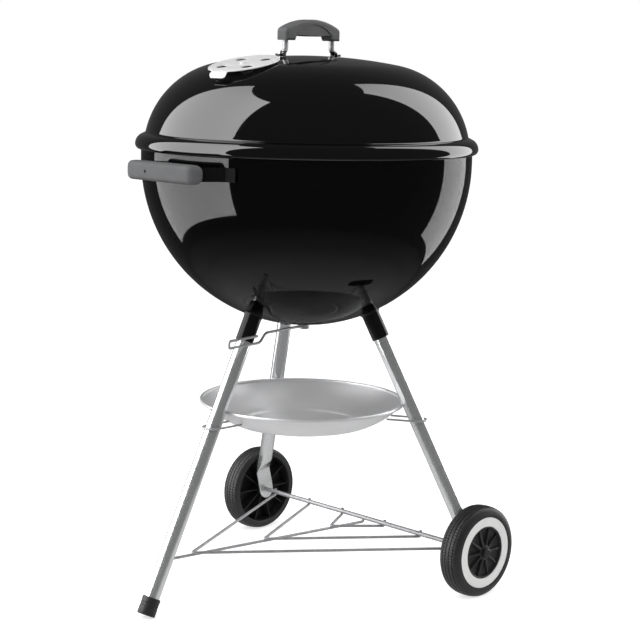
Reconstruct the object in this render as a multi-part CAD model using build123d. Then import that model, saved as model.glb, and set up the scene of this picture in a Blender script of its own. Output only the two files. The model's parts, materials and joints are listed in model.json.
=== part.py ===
from build123d import *
import os
from math import asin, atan2, cos, degrees, radians, sin, sqrt, tan

# Kettle charcoal grill in millimetres. +Z is up, the ground is Z = 0 and the kettle's axis is the Z axis.
# The single foot leg stands towards -Y and the wheel axle runs along X on the +Y side.

# Kettle shells
RIM_HEIGHT = 762.0          # height of the widest line of the lid bead
SHELL_WALL = 1.5            # enamelled steel sheet
BOWL_RADIUS = 282.0         # outside of the bowl, a half sphere with a short straight collar
BOWL_CENTRE_DROP = 25.0     # centre of the half sphere below the rim height
BOWL_RIM_ROLL = 2.6         # radius of the rolled wire edge round the bowl's mouth
LID_HEIGHT = 152.0          # top of the lid above the rim height
LID_CROWN_RADIUS = 857.0
LID_SHOULDER_RADIUS = 153.0
LID_BEAD_OVERHANG = 10.0    # widest line of the lid's bead outside the bowl's wall
LID_BEAD_ROUND = 18.0       # quarter round of the bead
LID_BEAD_LAP = 1.0          # outside of the dome's wall outside the bead's inner edge
LID_LIP_DROP = 8.0          # the bead's lower lip turns in below its widest line
LIP_CLEARANCE = 1.2         # lip to bowl wall
SEAT_CLEARANCE = 0.3        # lid to the bowl's rolled edge, and other pieces that rest on each other
CUT_DEPTH = 12.0            # a hole through a shell is cut this far each way

# Lid handle and damper
LID_TURN = 5.0              # the lid is put on turned by this angle from the foot leg
GRIP_LENGTH = 138.0
GRIP_WIDTH = 25.0
GRIP_TOP = 60.0             # crest of the grip above the lid's top
GRIP_END_RISE = 25.0        # underside of the grip's ends above the lid's top
GRIP_ARCH_RISE = 8.0        # underside between the ends, above the ends' underside
GRIP_END_BLOCK = 23.0       # length of each end block
GRIP_SHOULDER = 16.0        # top arc's drop from the crest to the ends
GRIP_EDGE_ROUND = 5.0
GRIP_PANEL_DEPTH = 1.6      # finger panel sunk in each side
POST_DIAMETER = 9.5
POST_INSET = 9.5            # post's axis from the grip's end
POST_BEND = 11.0
POST_FOOT_REACH = 19.0      # foot of each post, outwards from the post's axis
POST_FOOT_WIDTH = 15.0
POST_FOOT_THICKNESS = 4.0
BOLT_DIAMETER = 5.0
BOLT_HEAD = 9.0
BOLT_HEAD_HEIGHT = 3.2
BOLT_CLEARANCE = 0.3
NUT_SIDES = 6
DAMPER_DIAMETER = 118.0
DAMPER_OFFSET = 160.0       # distance of the damper's rivet from the kettle's axis
DAMPER_SHEET = 1.6
DAMPER_HOLES = 4
DAMPER_HOLE = 19.0
DAMPER_HOLE_CIRCLE = 36.0   # radius of the ring of holes
DAMPER_HOLE_START = 50.0    # first hole, from the damper's sideways direction
DAMPER_TAB_WIDTH = 34.0
DAMPER_TAB_LENGTH = 15.0
DAMPER_TAB_BEND = 34.0      # the tab is bent down by this angle, clear of the lid when it turns
RIVET_DIAMETER = 6.0
RIVET_HEAD = 13.0
RUNNING_FIT = 0.06          # radial clearance of a shaft that turns in a hole

# Legs, sockets and foot
LEG_SPLAY = 25.8            # legs from the vertical
FOOT_REACH = 350.0          # front leg's axis meets the ground this far from the kettle's axis
LEG_DIAMETER = 25.4
LEG_WALL = 1.5
LEG_SPACING = 120.0
SOCKET_WALL = 2.2
SOCKET_LENGTH = 48.0
SLIP_FIT = 0.1              # radial clearance of a tube pushed into a socket or cap
LEG_STOP_GAP = 4.0          # top of the leg below the bowl, along the leg
FOOT_CAP_WALL = 2.45
FOOT_CAP_LENGTH = 30.0
FOOT_CAP_FLOOR = 4.0
FOOT_LAND = 1.2             # height worn off the foot cap's edge, which makes the flat it stands on

# Wheels and axle
WHEEL_DIAMETER = 158.0
WHEEL_WIDTH = 38.0
AXLE_DIAMETER = 8.0
LEG_PLATE_OUT = 2.3         # middle of each wheel leg's flattened end outside the leg's axis
LEG_PLATE_WIDTH = 26.0
LEG_PLATE_THICKNESS = 4.2
FLAT_START_HEIGHT = 150.0   # the round leg ends here
FLAT_HEIGHT = 118.0         # the leg is fully flattened from here down
WHEEL_END_PLAY = 0.6
TYRE_DEPTH = 15.0           # tread to the inside of the rim
TYRE_SHOULDER = 5.0
TREAD_GROOVES = 30
TREAD_GROOVE_WIDTH = 4.0
TREAD_GROOVE_DEPTH = 2.2
TRIM_RING_OUTER = 61.5
TRIM_RING_INNER = 45.5
TRIM_RING_SHEET = 1.5
HUB_BOSS_RADIUS = 13.0
WEB_THICKNESS = 4.0
WHEEL_SPOKES = 10
HUB_BORE_PLAY = 0.5         # hub cover to the axle
SPOKE_WIDTH = 5.0
SPOKE_RISE = 5.0
CAP_DIAMETER = 17.0
CAP_HEIGHT = 5.0

# Wire rack between the legs
RACK_WIRE = 5.0
RACK_FRONT_HEIGHT = 94.0    # median wire where it enters the front leg
RACK_TIP_STEPS = (54.5, 218.5, 381.5)       # tips of the chevrons behind the front leg
RACK_END_INSETS = (20.0, 114.0, 202.0)      # ends of the chevrons inside the wheel legs
RACK_HOOK = 11.0            # hook behind the axle, above the wire
RACK_WELD_STEP = 0.7        # median below the chevrons, in wire diameters
RACK_HOOK_BEND = 4.0
RACK_TIP_BEND = 8.0
RACK_HOLE_PLAY = 0.2        # radial clearance of the median in the front leg

# Bowl handles
HANDLE_LENGTH = 150.0
HANDLE_DEPTH = 27.0
HANDLE_TALL = 37.0
HANDLE_FINGER_GAP = 19.5    # bowl to the inner face of the grip
HANDLE_DROP = 34.0          # middle of the grip below the rim height
HANDLE_ROUND = 11.0
HANDLE_RECESS_X = -30.0
HANDLE_RECESS = 5.0         # diameter of the recess in the grip's face
STRAP_THICKNESS = 3.0
STRAP_HEIGHT = 22.0
STRAP_FOOT_X = 95.0         # where each end of the strap meets the bowl
STRAP_FOOT = 16.0           # length of the foot along the bowl
STRAP_CLEARANCE = 0.25
STRAP_SEAT = 0.05           # feet of the strap to the bowl

# Ash pan and its clips
PAN_HEIGHT = 319.0          # rim of the pan
PAN_DEPTH = 50.0
PAN_SHEET = 1.2
PAN_FLOOR_RADIUS = 108.0
PAN_FLOOR_RISE = 8.0        # the dished floor's edge above its middle
PAN_SIDE_RADIUS = 150.0
PAN_RIM_ROLL = 3.0
CLIP_WIRE = 3.5
CLIP_REACH = 20.0           # clip arm from the rim of the pan towards its middle
CLIP_ROUND = 0.9            # bends of the clip, as a share of its half width

# Grates
COOKING_GRATE_DROP = 33.0   # below the rim height
COOKING_GRATE_GAP = 13.5    # grate to the bowl's wall
COOKING_BAR_PITCH = 24.0
CHARCOAL_GRATE_DROP = 174.0
CHARCOAL_GRATE_GAP = 23.65
CHARCOAL_BAR_PITCH = 28.0
GRATE_RING_WIRE = 6.0
GRATE_BAR_WIRE = 5.0
GRATE_WELD_STEP = 0.8       # crossbars below the bars, in wire diameters
GRATE_WIRE_SIDES = 6
GRATE_LOOP_REACH = 44.0
GRATE_TABS = 4
GRATE_TAB_START = 45.0      # first tab, from the front leg
TAB_WIDTH = 22.0
TAB_SHEET = 2.5

# Ash sweep
SWEEP_SHAFT = 10.0
SWEEP_COLLAR = 20.0
SWEEP_COLLAR_LENGTH = 9.0
BLADE_LAP = 12.0            # blades past the outer ends of the vents
BLADE_INNER = 30.0
BLADE_ANGLE = 44.0
BLADE_SHEET = 1.2
BLADE_GAP = 0.5
VENTS = 3
VENT_INNER = 38.0
VENT_OUTER = 92.0
VENT_ANGLE = 30.0
LEVER_WIRE = 4.5
LEVER_SOCKET_GAP = 1.2      # lever beside the front leg's socket
LEVER_REACH = 199.0
LEVER_BEND_RADIUS = 104.0   # the lever steps down here
LEVER_STEP = 15.0
LEVER_LOOP = 12.0           # distance between the strands of the hairpin
LEVER_RETURN = 126.0        # the hairpin's free end
LEVER_ROUND = 0.45          # bends of the lever, as a share of its loop

# Places that follow from the sizes
BOWL_Z = RIM_HEIGHT - BOWL_CENTRE_DROP
BOWL_INSIDE = BOWL_RADIUS - SHELL_WALL
LID_TOP = RIM_HEIGHT + LID_HEIGHT
CROWN_Z = LID_TOP - LID_CROWN_RADIUS
BEAD_R = BOWL_RADIUS + LID_BEAD_OVERHANG - LID_BEAD_ROUND
BEAD_TOP = RIM_HEIGHT + LID_BEAD_ROUND
POST_SPACING = GRIP_LENGTH - 2 * POST_INSET
SOCKET_DIAMETER = LEG_DIAMETER + 2 * (SLIP_FIT + SOCKET_WALL)
FOOT_CAP_DIAMETER = LEG_DIAMETER + 2 * (SLIP_FIT + FOOT_CAP_WALL)
LEG_SLOPE = tan(radians(LEG_SPLAY))
LEG_SIDES = {"front": 0.0, "right": LEG_SPACING, "left": -LEG_SPACING}
LEG_PLATE_X = (FOOT_REACH - FLAT_HEIGHT * LEG_SLOPE) * sin(radians(LEG_SPACING)) + LEG_PLATE_OUT
AXLE_Z = WHEEL_DIAMETER / 2
AXLE_Y = -(FOOT_REACH - AXLE_Z * LEG_SLOPE) * cos(radians(LEG_SPACING))
RACK_FRONT_Y = RACK_FRONT_HEIGHT * LEG_SLOPE - FOOT_REACH
HANDLE_OFFSET = BOWL_RADIUS + HANDLE_FINGER_GAP + HANDLE_DEPTH / 2
COOKING_GRATE_HEIGHT = RIM_HEIGHT - COOKING_GRATE_DROP
CHARCOAL_GRATE_HEIGHT = RIM_HEIGHT - CHARCOAL_GRATE_DROP
BLADE_REACH = VENT_OUTER + BLADE_LAP
LEFT, RIGHT = -1, 1


def shoulder_centre():
    """Middle of the lid's shoulder arc in half section: it is tangent to the crown and ends on the bead."""
    across, up = BEAD_R + LID_BEAD_LAP, BEAD_TOP - CROWN_Z
    span = sqrt(across ** 2 + up ** 2)
    arm = LID_CROWN_RADIUS - LID_SHOULDER_RADIUS
    along = (arm ** 2 - LID_SHOULDER_RADIUS ** 2 + span ** 2) / (2 * span)
    aside = sqrt(arm ** 2 - along ** 2)
    return (across * along - up * aside) / span, CROWN_Z + (up * along + across * aside) / span


SHOULDER_R, SHOULDER_Z = shoulder_centre()
CROWN_JOIN = degrees(atan2(SHOULDER_Z - CROWN_Z, SHOULDER_R))


def around(azimuth, radius, height):
    """Point at an angle round the kettle's axis. Angle 0 is the front leg, and it turns towards +X."""
    turn = radians(azimuth)
    return Vector(radius * sin(turn), -radius * cos(turn), height)


def leg_point(azimuth, height):
    return around(azimuth, FOOT_REACH - height * LEG_SLOPE, height)


def rod(start, end, diameter):
    start, end = Vector(start), Vector(end)
    return Solid.make_cylinder(diameter / 2, (end - start).length, Plane(start, z_dir=end - start))


def bent_rod(points, diameter, bend):
    path = FilletPolyline(*points, radius=bend)
    section = Plane(path @ 0, z_dir=path % 0) * Circle(diameter / 2)
    return sweep(section, path)


def turned(face):
    return revolve(Plane.XZ * face, Axis.Z)


def sphere_drop(radius, sphere):
    """Height of a sphere's underside above its lowest point, at a distance from its axis."""
    return sphere - sqrt(sphere ** 2 - radius ** 2)


def lid_surface(radius):
    """Height of the lid's outside at a distance from the kettle's axis."""
    if radius <= LID_CROWN_RADIUS * cos(radians(CROWN_JOIN)):
        return CROWN_Z + sqrt(LID_CROWN_RADIUS ** 2 - radius ** 2)
    return SHOULDER_Z + sqrt(LID_SHOULDER_RADIUS ** 2 - (radius - SHOULDER_R) ** 2)


def lid_slope(radius):
    """Slope of the lid's outside in degrees at a distance from the kettle's axis."""
    if radius <= LID_CROWN_RADIUS * cos(radians(CROWN_JOIN)):
        return degrees(asin(radius / LID_CROWN_RADIUS))
    return degrees(asin((radius - SHOULDER_R) / LID_SHOULDER_RADIUS))


def on_lid(shape):
    return Rot(0, 0, LID_TURN) * shape


def damper_plane():
    """Plane on the lid at the damper's rivet, with Z along the rivet and Y up the lid's slope."""
    slope = radians(lid_slope(DAMPER_OFFSET))
    origin = (0, -DAMPER_OFFSET, lid_surface(DAMPER_OFFSET))
    return Plane(origin, x_dir=(1, 0, 0), z_dir=(0, -sin(slope), cos(slope)))


def damper_hole_spots():
    return PolarLocations(DAMPER_HOLE_CIRCLE, DAMPER_HOLES, DAMPER_HOLE_START)


def dome_face(skin):
    """Half section of the space under the lid's dome, with its outline moved in by skin."""
    foot = BEAD_TOP - SHELL_WALL
    shoulder = LID_SHOULDER_RADIUS - skin
    low = degrees(asin((foot - SHOULDER_Z) / shoulder))
    crown_arc = CenterArc((0, CROWN_Z), LID_CROWN_RADIUS - skin, CROWN_JOIN, 90 - CROWN_JOIN)
    shoulder_arc = CenterArc((SHOULDER_R, SHOULDER_Z), shoulder, low, CROWN_JOIN - low)
    base = Polyline(shoulder_arc @ 0, (0, foot), crown_arc @ 1)
    return make_face([shoulder_arc, crown_arc, base])


def bead_face():
    """Half section of the bead round the lid's edge: a quarter round and a lip turned in below it."""
    inner = LID_BEAD_ROUND - SHELL_WALL
    lip = Vector(BOWL_RADIUS + LIP_CLEARANCE + SHELL_WALL, RIM_HEIGHT - LID_LIP_DROP)
    outer_arc = CenterArc((BEAD_R, RIM_HEIGHT), LID_BEAD_ROUND, 0, 90)
    inner_arc = CenterArc((BEAD_R, RIM_HEIGHT), inner, 0, 90)
    edge = Polyline(inner_arc @ 0, lip + Vector(-SHELL_WALL, SHELL_WALL / 2), lip, outer_arc @ 0)
    return make_face([outer_arc, inner_arc, edge, Line(inner_arc @ 1, outer_arc @ 1)])


def lid_shell():
    shell = turned(dome_face(0)) - turned(dome_face(SHELL_WALL)) + turned(bead_face())
    plane = damper_plane()
    holes = Circle(RIVET_DIAMETER / 2) + [spot * Circle(DAMPER_HOLE / 2) for spot in damper_hole_spots()]
    shell -= extrude(plane * holes, CUT_DEPTH, both=True)
    for y in bolt_spots():
        shell -= rod((0, y, LID_TOP), (0, y, LID_TOP - CUT_DEPTH), BOLT_DIAMETER + 2 * BOLT_CLEARANCE)
    return shell


def bolt_spots():
    """Distances of the handle's two bolts along the grip."""
    place = POST_SPACING / 2 + POST_FOOT_REACH - POST_FOOT_WIDTH / 2
    return (-place, place)


def lid_grip():
    """Arched grip along Y, with an end block over each post and a lens shaped panel sunk in each side."""
    half, block = GRIP_LENGTH / 2, GRIP_LENGTH / 2 - GRIP_END_BLOCK
    low = LID_TOP + GRIP_END_RISE
    arch, crest = low + GRIP_ARCH_RISE, LID_TOP + GRIP_TOP
    shoulder = crest - GRIP_SHOULDER
    inset = GRIP_ARCH_RISE / 2
    outline = [
        Polyline((-half, shoulder), (-half, low), (-block, low), (-block + inset, arch)),
        ThreePointArc((-block + inset, arch), (0, arch - inset / 3), (block - inset, arch)),
        Polyline((block - inset, arch), (block, low), (half, low), (half, shoulder)),
        ThreePointArc((half, shoulder), (0, crest), (-half, shoulder)),
    ]
    blank = extrude(Plane.YZ * make_face(outline), GRIP_WIDTH / 2, both=True)
    ends = blank.edges().filter_by(Axis.X).group_by(Axis.Z)[-1]
    blank = fillet(ends, GRIP_SHOULDER / 2)
    rims = blank.faces().filter_by(Plane.YZ).edges()
    blank = fillet(rims, GRIP_EDGE_ROUND)
    panel_top = crest - GRIP_SHOULDER / 2
    lens = make_face([
        ThreePointArc((-block, arch), (0, panel_top), (block, arch)),
        ThreePointArc((block, arch), (0, arch - inset), (-block, arch)),
    ])
    panel = extrude(Plane.YZ * lens, GRIP_PANEL_DEPTH)
    for side in (LEFT, RIGHT):
        place = GRIP_WIDTH / 2 if side == RIGHT else GRIP_PANEL_DEPTH - GRIP_WIDTH / 2
        blank -= Pos(place - GRIP_PANEL_DEPTH, 0, 0) * panel
    for y in (-POST_SPACING / 2, POST_SPACING / 2):
        blank -= rod((0, y, low - 1), (0, y, low + GRIP_ARCH_RISE), POST_DIAMETER + 2 * SLIP_FIT)
    return blank


def post_seat():
    """Underside of a post's foot, which touches the lid below the post."""
    return lid_surface(POST_SPACING / 2 - POST_DIAMETER / 2) + SEAT_CLEARANCE


def lid_post(side):
    """Bent post: a rod from the grip to a flat foot that points outwards along the lid."""
    y, bolt_y = POST_SPACING / 2, bolt_spots()[1]
    seat = post_seat()
    axis_z = seat + POST_DIAMETER / 2
    points = [(0, y, LID_TOP + GRIP_END_RISE + GRIP_ARCH_RISE), (0, y, axis_z), (0, bolt_y, axis_z)]
    shank = bent_rod(points, POST_DIAMETER, POST_BEND)
    foot_face = RectangleRounded(POST_FOOT_WIDTH, POST_FOOT_WIDTH, POST_FOOT_WIDTH / 4)
    foot = Pos(0, bolt_y, seat) * extrude(foot_face, POST_FOOT_THICKNESS)
    foot_top = seat + POST_FOOT_THICKNESS
    clear_top = Pos(0, bolt_y, foot_top) * extrude(Circle(BOLT_HEAD / 2 + BOLT_CLEARANCE), POST_DIAMETER)
    hole = rod((0, bolt_y, seat - 1), (0, bolt_y, seat + POST_DIAMETER), BOLT_DIAMETER + 2 * BOLT_CLEARANCE)
    post = shank + foot - clear_top - hole
    return post if side == RIGHT else Rot(0, 0, 180) * post


def lid_bolts():
    """Two bolts with a domed head on each post's foot and a nut inside the lid."""
    bolts = []
    for y in bolt_spots():
        seat = post_seat() + POST_FOOT_THICKNESS
        wall = SHELL_WALL / cos(radians(lid_slope(abs(y))))
        under = lid_surface(abs(y) + BOLT_HEAD / 2) - wall - SEAT_CLEARANCE
        head = Pos(0, y, seat) * extrude(Circle(BOLT_HEAD / 2), BOLT_HEAD_HEIGHT)
        head = fillet(head.edges().group_by(Axis.Z)[-1], BOLT_HEAD_HEIGHT / 2)
        nut = Pos(0, y, under) * extrude(RegularPolygon(BOLT_HEAD / 2, NUT_SIDES), -BOLT_HEAD_HEIGHT)
        bolts.append(head + rod((0, y, under - BOLT_HEAD_HEIGHT), (0, y, seat), BOLT_DIAMETER) + nut)
    return Compound(bolts)


def damper_rivet():
    plane = damper_plane()
    top = SEAT_CLEARANCE + DAMPER_SHEET + SEAT_CLEARANCE
    head = extrude(Circle(RIVET_HEAD / 2), RIVET_DIAMETER / 3)
    head = plane.offset(top) * fillet(head.edges().group_by(Axis.Z)[-1], RIVET_DIAMETER / 5)
    below = -SHELL_WALL - SEAT_CLEARANCE
    shank = extrude(plane.offset(below) * Circle(RIVET_DIAMETER / 2), top - below)
    tail = extrude(plane.offset(below) * Circle(RIVET_HEAD / 2), -RIVET_DIAMETER / 3)
    return head + shank + tail


def lid_damper():
    """Round damper plate with a ring of holes and a finger tab bent down over the lid's shoulder."""
    plane = damper_plane().offset(SEAT_CLEARANCE)
    disc = Circle(DAMPER_DIAMETER / 2) - Circle(RIVET_DIAMETER / 2 + RUNNING_FIT)
    disc -= [spot * Circle(DAMPER_HOLE / 2) for spot in damper_hole_spots()]
    chord = sqrt((DAMPER_DIAMETER / 2) ** 2 - (DAMPER_TAB_WIDTH / 2) ** 2)
    disc -= Pos(0, -chord - DAMPER_DIAMETER / 2) * Rectangle(DAMPER_TAB_WIDTH, DAMPER_DIAMETER)
    plate = extrude(disc, DAMPER_SHEET)
    tab = Pos(0, DAMPER_SHEET - chord, 0) * Rot(DAMPER_TAB_BEND, 0, 0) * Box(
        DAMPER_TAB_WIDTH, DAMPER_TAB_LENGTH, DAMPER_SHEET, align=(Align.CENTER, Align.MAX, Align.MIN))
    return plane * (plate + tab)


def bowl_section(skin, top):
    """Half section of the bowl's inside space or outside, with its outline moved in by skin."""
    arc = CenterArc((0, BOWL_Z), BOWL_RADIUS - skin, -90, 90)
    return make_face([arc, Polyline(arc @ 1, (BOWL_RADIUS - skin, top), (0, top), arc @ 0)])


def sector(inner, outer, angle, azimuth):
    """Flat ring sector centred on an angle round the kettle's axis."""
    ring = Circle(outer) - Circle(inner)
    reach = 2 * outer
    half = radians(angle / 2)
    tip = make_face(Polyline((0, 0), (-reach * tan(half), -reach), (reach * tan(half), -reach), close=True))
    return Rot(0, 0, azimuth) * (ring & tip)


def bowl_rim_z():
    """Height of the rolled edge's middle, which leaves the lid's bead its seat."""
    reach = LID_BEAD_ROUND - SHELL_WALL - BOWL_RIM_ROLL - SEAT_CLEARANCE
    side = BOWL_RADIUS - BOWL_RIM_ROLL - BEAD_R + SHELL_WALL / 2
    return RIM_HEIGHT + sqrt(reach ** 2 - side ** 2)


def bowl_shell():
    top = bowl_rim_z()
    shell = turned(bowl_section(0, top)) - turned(bowl_section(SHELL_WALL, top))
    roll_r = BOWL_RADIUS - BOWL_RIM_ROLL + SHELL_WALL / 2
    shell += turned(Pos(roll_r, top) * Circle(BOWL_RIM_ROLL))
    floor = BOWL_Z - BOWL_RADIUS
    tall = sphere_drop(VENT_OUTER, BOWL_RADIUS) + CUT_DEPTH
    for i in range(VENTS):
        vent = sector(VENT_INNER, VENT_OUTER, VENT_ANGLE, LEG_SPACING * (i + 0.5))
        shell -= extrude(Pos(0, 0, floor - SHELL_WALL) * vent, tall)
    return shell - rod((0, 0, floor - CUT_DEPTH), (0, 0, floor + CUT_DEPTH), SWEEP_SHAFT + 2 * RUNNING_FIT)


def bowl_radius(height, skin):
    """Radius of the bowl at a height, with its outline moved in by skin."""
    below = max(BOWL_Z - height, 0)
    return sqrt((BOWL_RADIUS - skin) ** 2 - below ** 2)


def bowl_entry(azimuth):
    """Point where a leg's axis meets the outside of the bowl, and the leg's direction downwards."""
    foot = leg_point(azimuth, 0)
    down = (foot - leg_point(azimuth, RIM_HEIGHT)).normalized()
    centre = Vector(0, 0, BOWL_Z)
    along = (foot - centre).dot(down)
    gap = (foot - centre).dot(foot - centre) - along ** 2
    return foot - down * (along - sqrt(BOWL_RADIUS ** 2 - gap)), down


def leg_socket(azimuth):
    entry, down = bowl_entry(azimuth)
    start, end = entry - down * SOCKET_DIAMETER / 2, entry + down * SOCKET_LENGTH
    tube = rod(start, end, SOCKET_DIAMETER) - rod(start, end, LEG_DIAMETER + 2 * SLIP_FIT)
    return tube - Pos(0, 0, BOWL_Z) * Sphere(BOWL_RADIUS)


def foot_centre():
    """Middle of the foot cap's end, with the cap's low edge worn flat on the ground."""
    height = FOOT_CAP_DIAMETER / 2 * sin(radians(LEG_SPLAY)) - FOOT_LAND
    return leg_point(0, height)


def front_leg():
    entry, down = bowl_entry(0)
    top = entry + down * LEG_STOP_GAP
    end = foot_centre() - down * FOOT_CAP_FLOOR
    tube = rod(top, end, LEG_DIAMETER) - rod(top, end, LEG_DIAMETER - 2 * LEG_WALL)
    first_tip = median_point(RACK_FRONT_Y + RACK_TIP_STEPS[0])
    return tube - rod(median_point(RACK_FRONT_Y), first_tip, RACK_WIRE + 2 * RACK_HOLE_PLAY)


def foot_cap():
    down = bowl_entry(0)[1]
    end = foot_centre()
    floor = end - down * FOOT_CAP_FLOOR
    mouth = end - down * FOOT_CAP_LENGTH
    cap = rod(mouth, end, FOOT_CAP_DIAMETER) - rod(mouth, floor, LEG_DIAMETER + 2 * SLIP_FIT)
    wide = 2 * FOOT_CAP_LENGTH
    ground = Box(wide, wide, FOOT_CAP_LENGTH, align=(Align.CENTER, Align.CENTER, Align.MAX))
    return cap - Pos(end.X, end.Y, 0) * ground


def wheel_leg(side):
    """Round leg whose lower end is flattened into an upright plate for the axle."""
    azimuth = side * LEG_SPACING
    entry, down = bowl_entry(azimuth)
    top, flat_start = entry + down * LEG_STOP_GAP, leg_point(azimuth, FLAT_START_HEIGHT)
    tube = rod(top, flat_start, LEG_DIAMETER) - rod(top, flat_start, LEG_DIAMETER - 2 * LEG_WALL)
    plate_x = side * LEG_PLATE_X
    flat_y = leg_point(azimuth, FLAT_HEIGHT).Y
    plate_top, axle = Vector(plate_x, flat_y, FLAT_HEIGHT), Vector(plate_x, AXLE_Y, AXLE_Z)
    plate_down = (axle - plate_top).normalized()
    across = Vector(1, 0, 0)
    leg_across = across - down * across.dot(down)
    round_end = Plane(flat_start, x_dir=leg_across, z_dir=down) * Circle(LEG_DIAMETER / 2)
    flat_face = Ellipse(LEG_PLATE_THICKNESS / 2, LEG_PLATE_WIDTH / 2)
    neck = loft([round_end, Plane(plate_top, x_dir=across, z_dir=plate_down) * flat_face])
    slant = degrees(atan2(plate_down.Z, plate_down.Y))
    middle = (plate_top + axle) / 2
    upright = Plane((plate_x, middle.Y, middle.Z), x_dir=(0, 1, 0), z_dir=across)
    slot = Rot(0, 0, slant) * SlotCenterToCenter((axle - plate_top).length, LEG_PLATE_WIDTH)
    plate = extrude(upright * slot, LEG_PLATE_THICKNESS / 2, both=True)
    reach = Vector(LEG_PLATE_WIDTH, 0, 0)
    return tube + neck + plate - rod(axle - reach, axle + reach, AXLE_DIAMETER + 2 * SLIP_FIT)


def wheel_inner_x():
    return LEG_PLATE_X + LEG_PLATE_THICKNESS / 2 + WHEEL_END_PLAY


def wheel_outer_x():
    return wheel_inner_x() + WHEEL_WIDTH


def axle():
    reach = wheel_outer_x() + WHEEL_END_PLAY + CAP_HEIGHT / 2
    return rod((-reach, AXLE_Y, AXLE_Z), (reach, AXLE_Y, AXLE_Z), AXLE_DIAMETER)


def axle_caps():
    """Push-on caps that hold the wheels on the axle's ends."""
    caps = []
    for side in (LEFT, RIGHT):
        plane = Plane((side * (wheel_outer_x() + WHEEL_END_PLAY), AXLE_Y, AXLE_Z), z_dir=(side, 0, 0))
        cap = Cylinder(CAP_DIAMETER / 2, CAP_HEIGHT, align=(Align.CENTER, Align.CENTER, Align.MIN))
        cap = fillet(cap.edges().group_by(Axis.Z)[-1], CAP_HEIGHT / 2)
        bore = Cylinder(AXLE_DIAMETER / 2, CAP_HEIGHT / 2, align=(Align.CENTER, Align.CENTER, Align.MIN))
        caps.append(plane * (cap - bore))
    return Compound(caps)


def wheel_plane(side):
    """Plane on a wheel's inner face, with Z pointing outwards along the axle."""
    return Plane((side * wheel_inner_x(), AXLE_Y, AXLE_Z), x_dir=(0, 1, 0), z_dir=(side, 0, 0))


def wheel_body(side):
    """Moulded wheel: a grooved tyre, a web with ribs behind it, a land for the trim ring and a hub boss."""
    radius, rim = WHEEL_DIAMETER / 2, WHEEL_DIAMETER / 2 - TYRE_DEPTH
    bore = AXLE_DIAMETER / 2 + RUNNING_FIT
    land = WHEEL_WIDTH - TRIM_RING_SHEET
    web = land - SPOKE_RISE - WEB_THICKNESS
    outline = Polyline(
        (bore, 0), (HUB_BOSS_RADIUS, 0), (HUB_BOSS_RADIUS, web), (rim, web), (rim, 0), (radius, 0),
        (radius, WHEEL_WIDTH), (TRIM_RING_OUTER, WHEEL_WIDTH), (TRIM_RING_OUTER, land),
        (TRIM_RING_INNER, land), (TRIM_RING_INNER, land - SPOKE_RISE), (bore, land - SPOKE_RISE), close=True)
    body = revolve(Plane.XZ * make_face(outline), Axis.Z)
    circles = body.edges().filter_by(GeomType.CIRCLE)
    body = fillet(circles.filter_by(lambda edge: edge.radius > radius - SLIP_FIT), TYRE_SHOULDER)
    rib = Rectangle(rim - HUB_BOSS_RADIUS + SPOKE_WIDTH / 2, SPOKE_WIDTH / 2)
    for spot in PolarLocations((rim + HUB_BOSS_RADIUS) / 2, WHEEL_SPOKES):
        body += Pos(0, 0, web / 4) * spot * extrude(rib, web * 3 / 4)
    groove_z = WHEEL_WIDTH / 4
    grooves = []
    for spot in PolarLocations(radius, TREAD_GROOVES):
        for z in (groove_z, WHEEL_WIDTH - groove_z):
            grooves.append(Pos(0, 0, z) * spot * Box(2 * TREAD_GROOVE_DEPTH, TREAD_GROOVE_WIDTH, groove_z))
    return wheel_plane(side) * (body - grooves)


def trim_ring(side):
    ring = extrude(Circle(TRIM_RING_OUTER - SLIP_FIT) - Circle(TRIM_RING_INNER), TRIM_RING_SHEET - SLIP_FIT)
    return wheel_plane(side) * Pos(0, 0, WHEEL_WIDTH - TRIM_RING_SHEET) * ring


def hub_cover(side):
    """Spoked cover in the wheel's outer face, inside the trim ring."""
    seat = WHEEL_WIDTH - TRIM_RING_SHEET - SPOKE_RISE
    rise = SPOKE_RISE + TRIM_RING_SHEET
    bore = AXLE_DIAMETER / 2 + HUB_BORE_PLAY
    outer = TRIM_RING_INNER - SLIP_FIT
    rim = extrude(Circle(outer) - Circle(outer - SPOKE_WIDTH), rise)
    back = extrude(Circle(outer) - Circle(bore), rise / 4)
    boss = extrude(Circle(HUB_BOSS_RADIUS) - Circle(bore), rise)
    cover = rim + back + boss
    spoke = Rectangle(outer - HUB_BOSS_RADIUS - SPOKE_WIDTH / 2, SPOKE_WIDTH)
    for spot in PolarLocations((outer + HUB_BOSS_RADIUS) / 2, WHEEL_SPOKES):
        cover += spot * extrude(spoke, rise * 3 / 4)
    return wheel_plane(side) * Pos(0, 0, seat) * cover


def rack_point(x, y):
    """Point of the rack's slanting plane, which runs from the front leg to just under the axle."""
    back = AXLE_Z - AXLE_DIAMETER / 2 - RACK_WIRE / 2 - SEAT_CLEARANCE
    slope = (RACK_FRONT_HEIGHT - back) / (AXLE_Y - RACK_FRONT_Y)
    return Vector(x, y, back + slope * (AXLE_Y - y))


def median_point(y):
    """Point of the rack's median wire, which is welded under the chevrons' tips."""
    return rack_point(0, y) - Vector(0, 0, RACK_WIRE * RACK_WELD_STEP)


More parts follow.
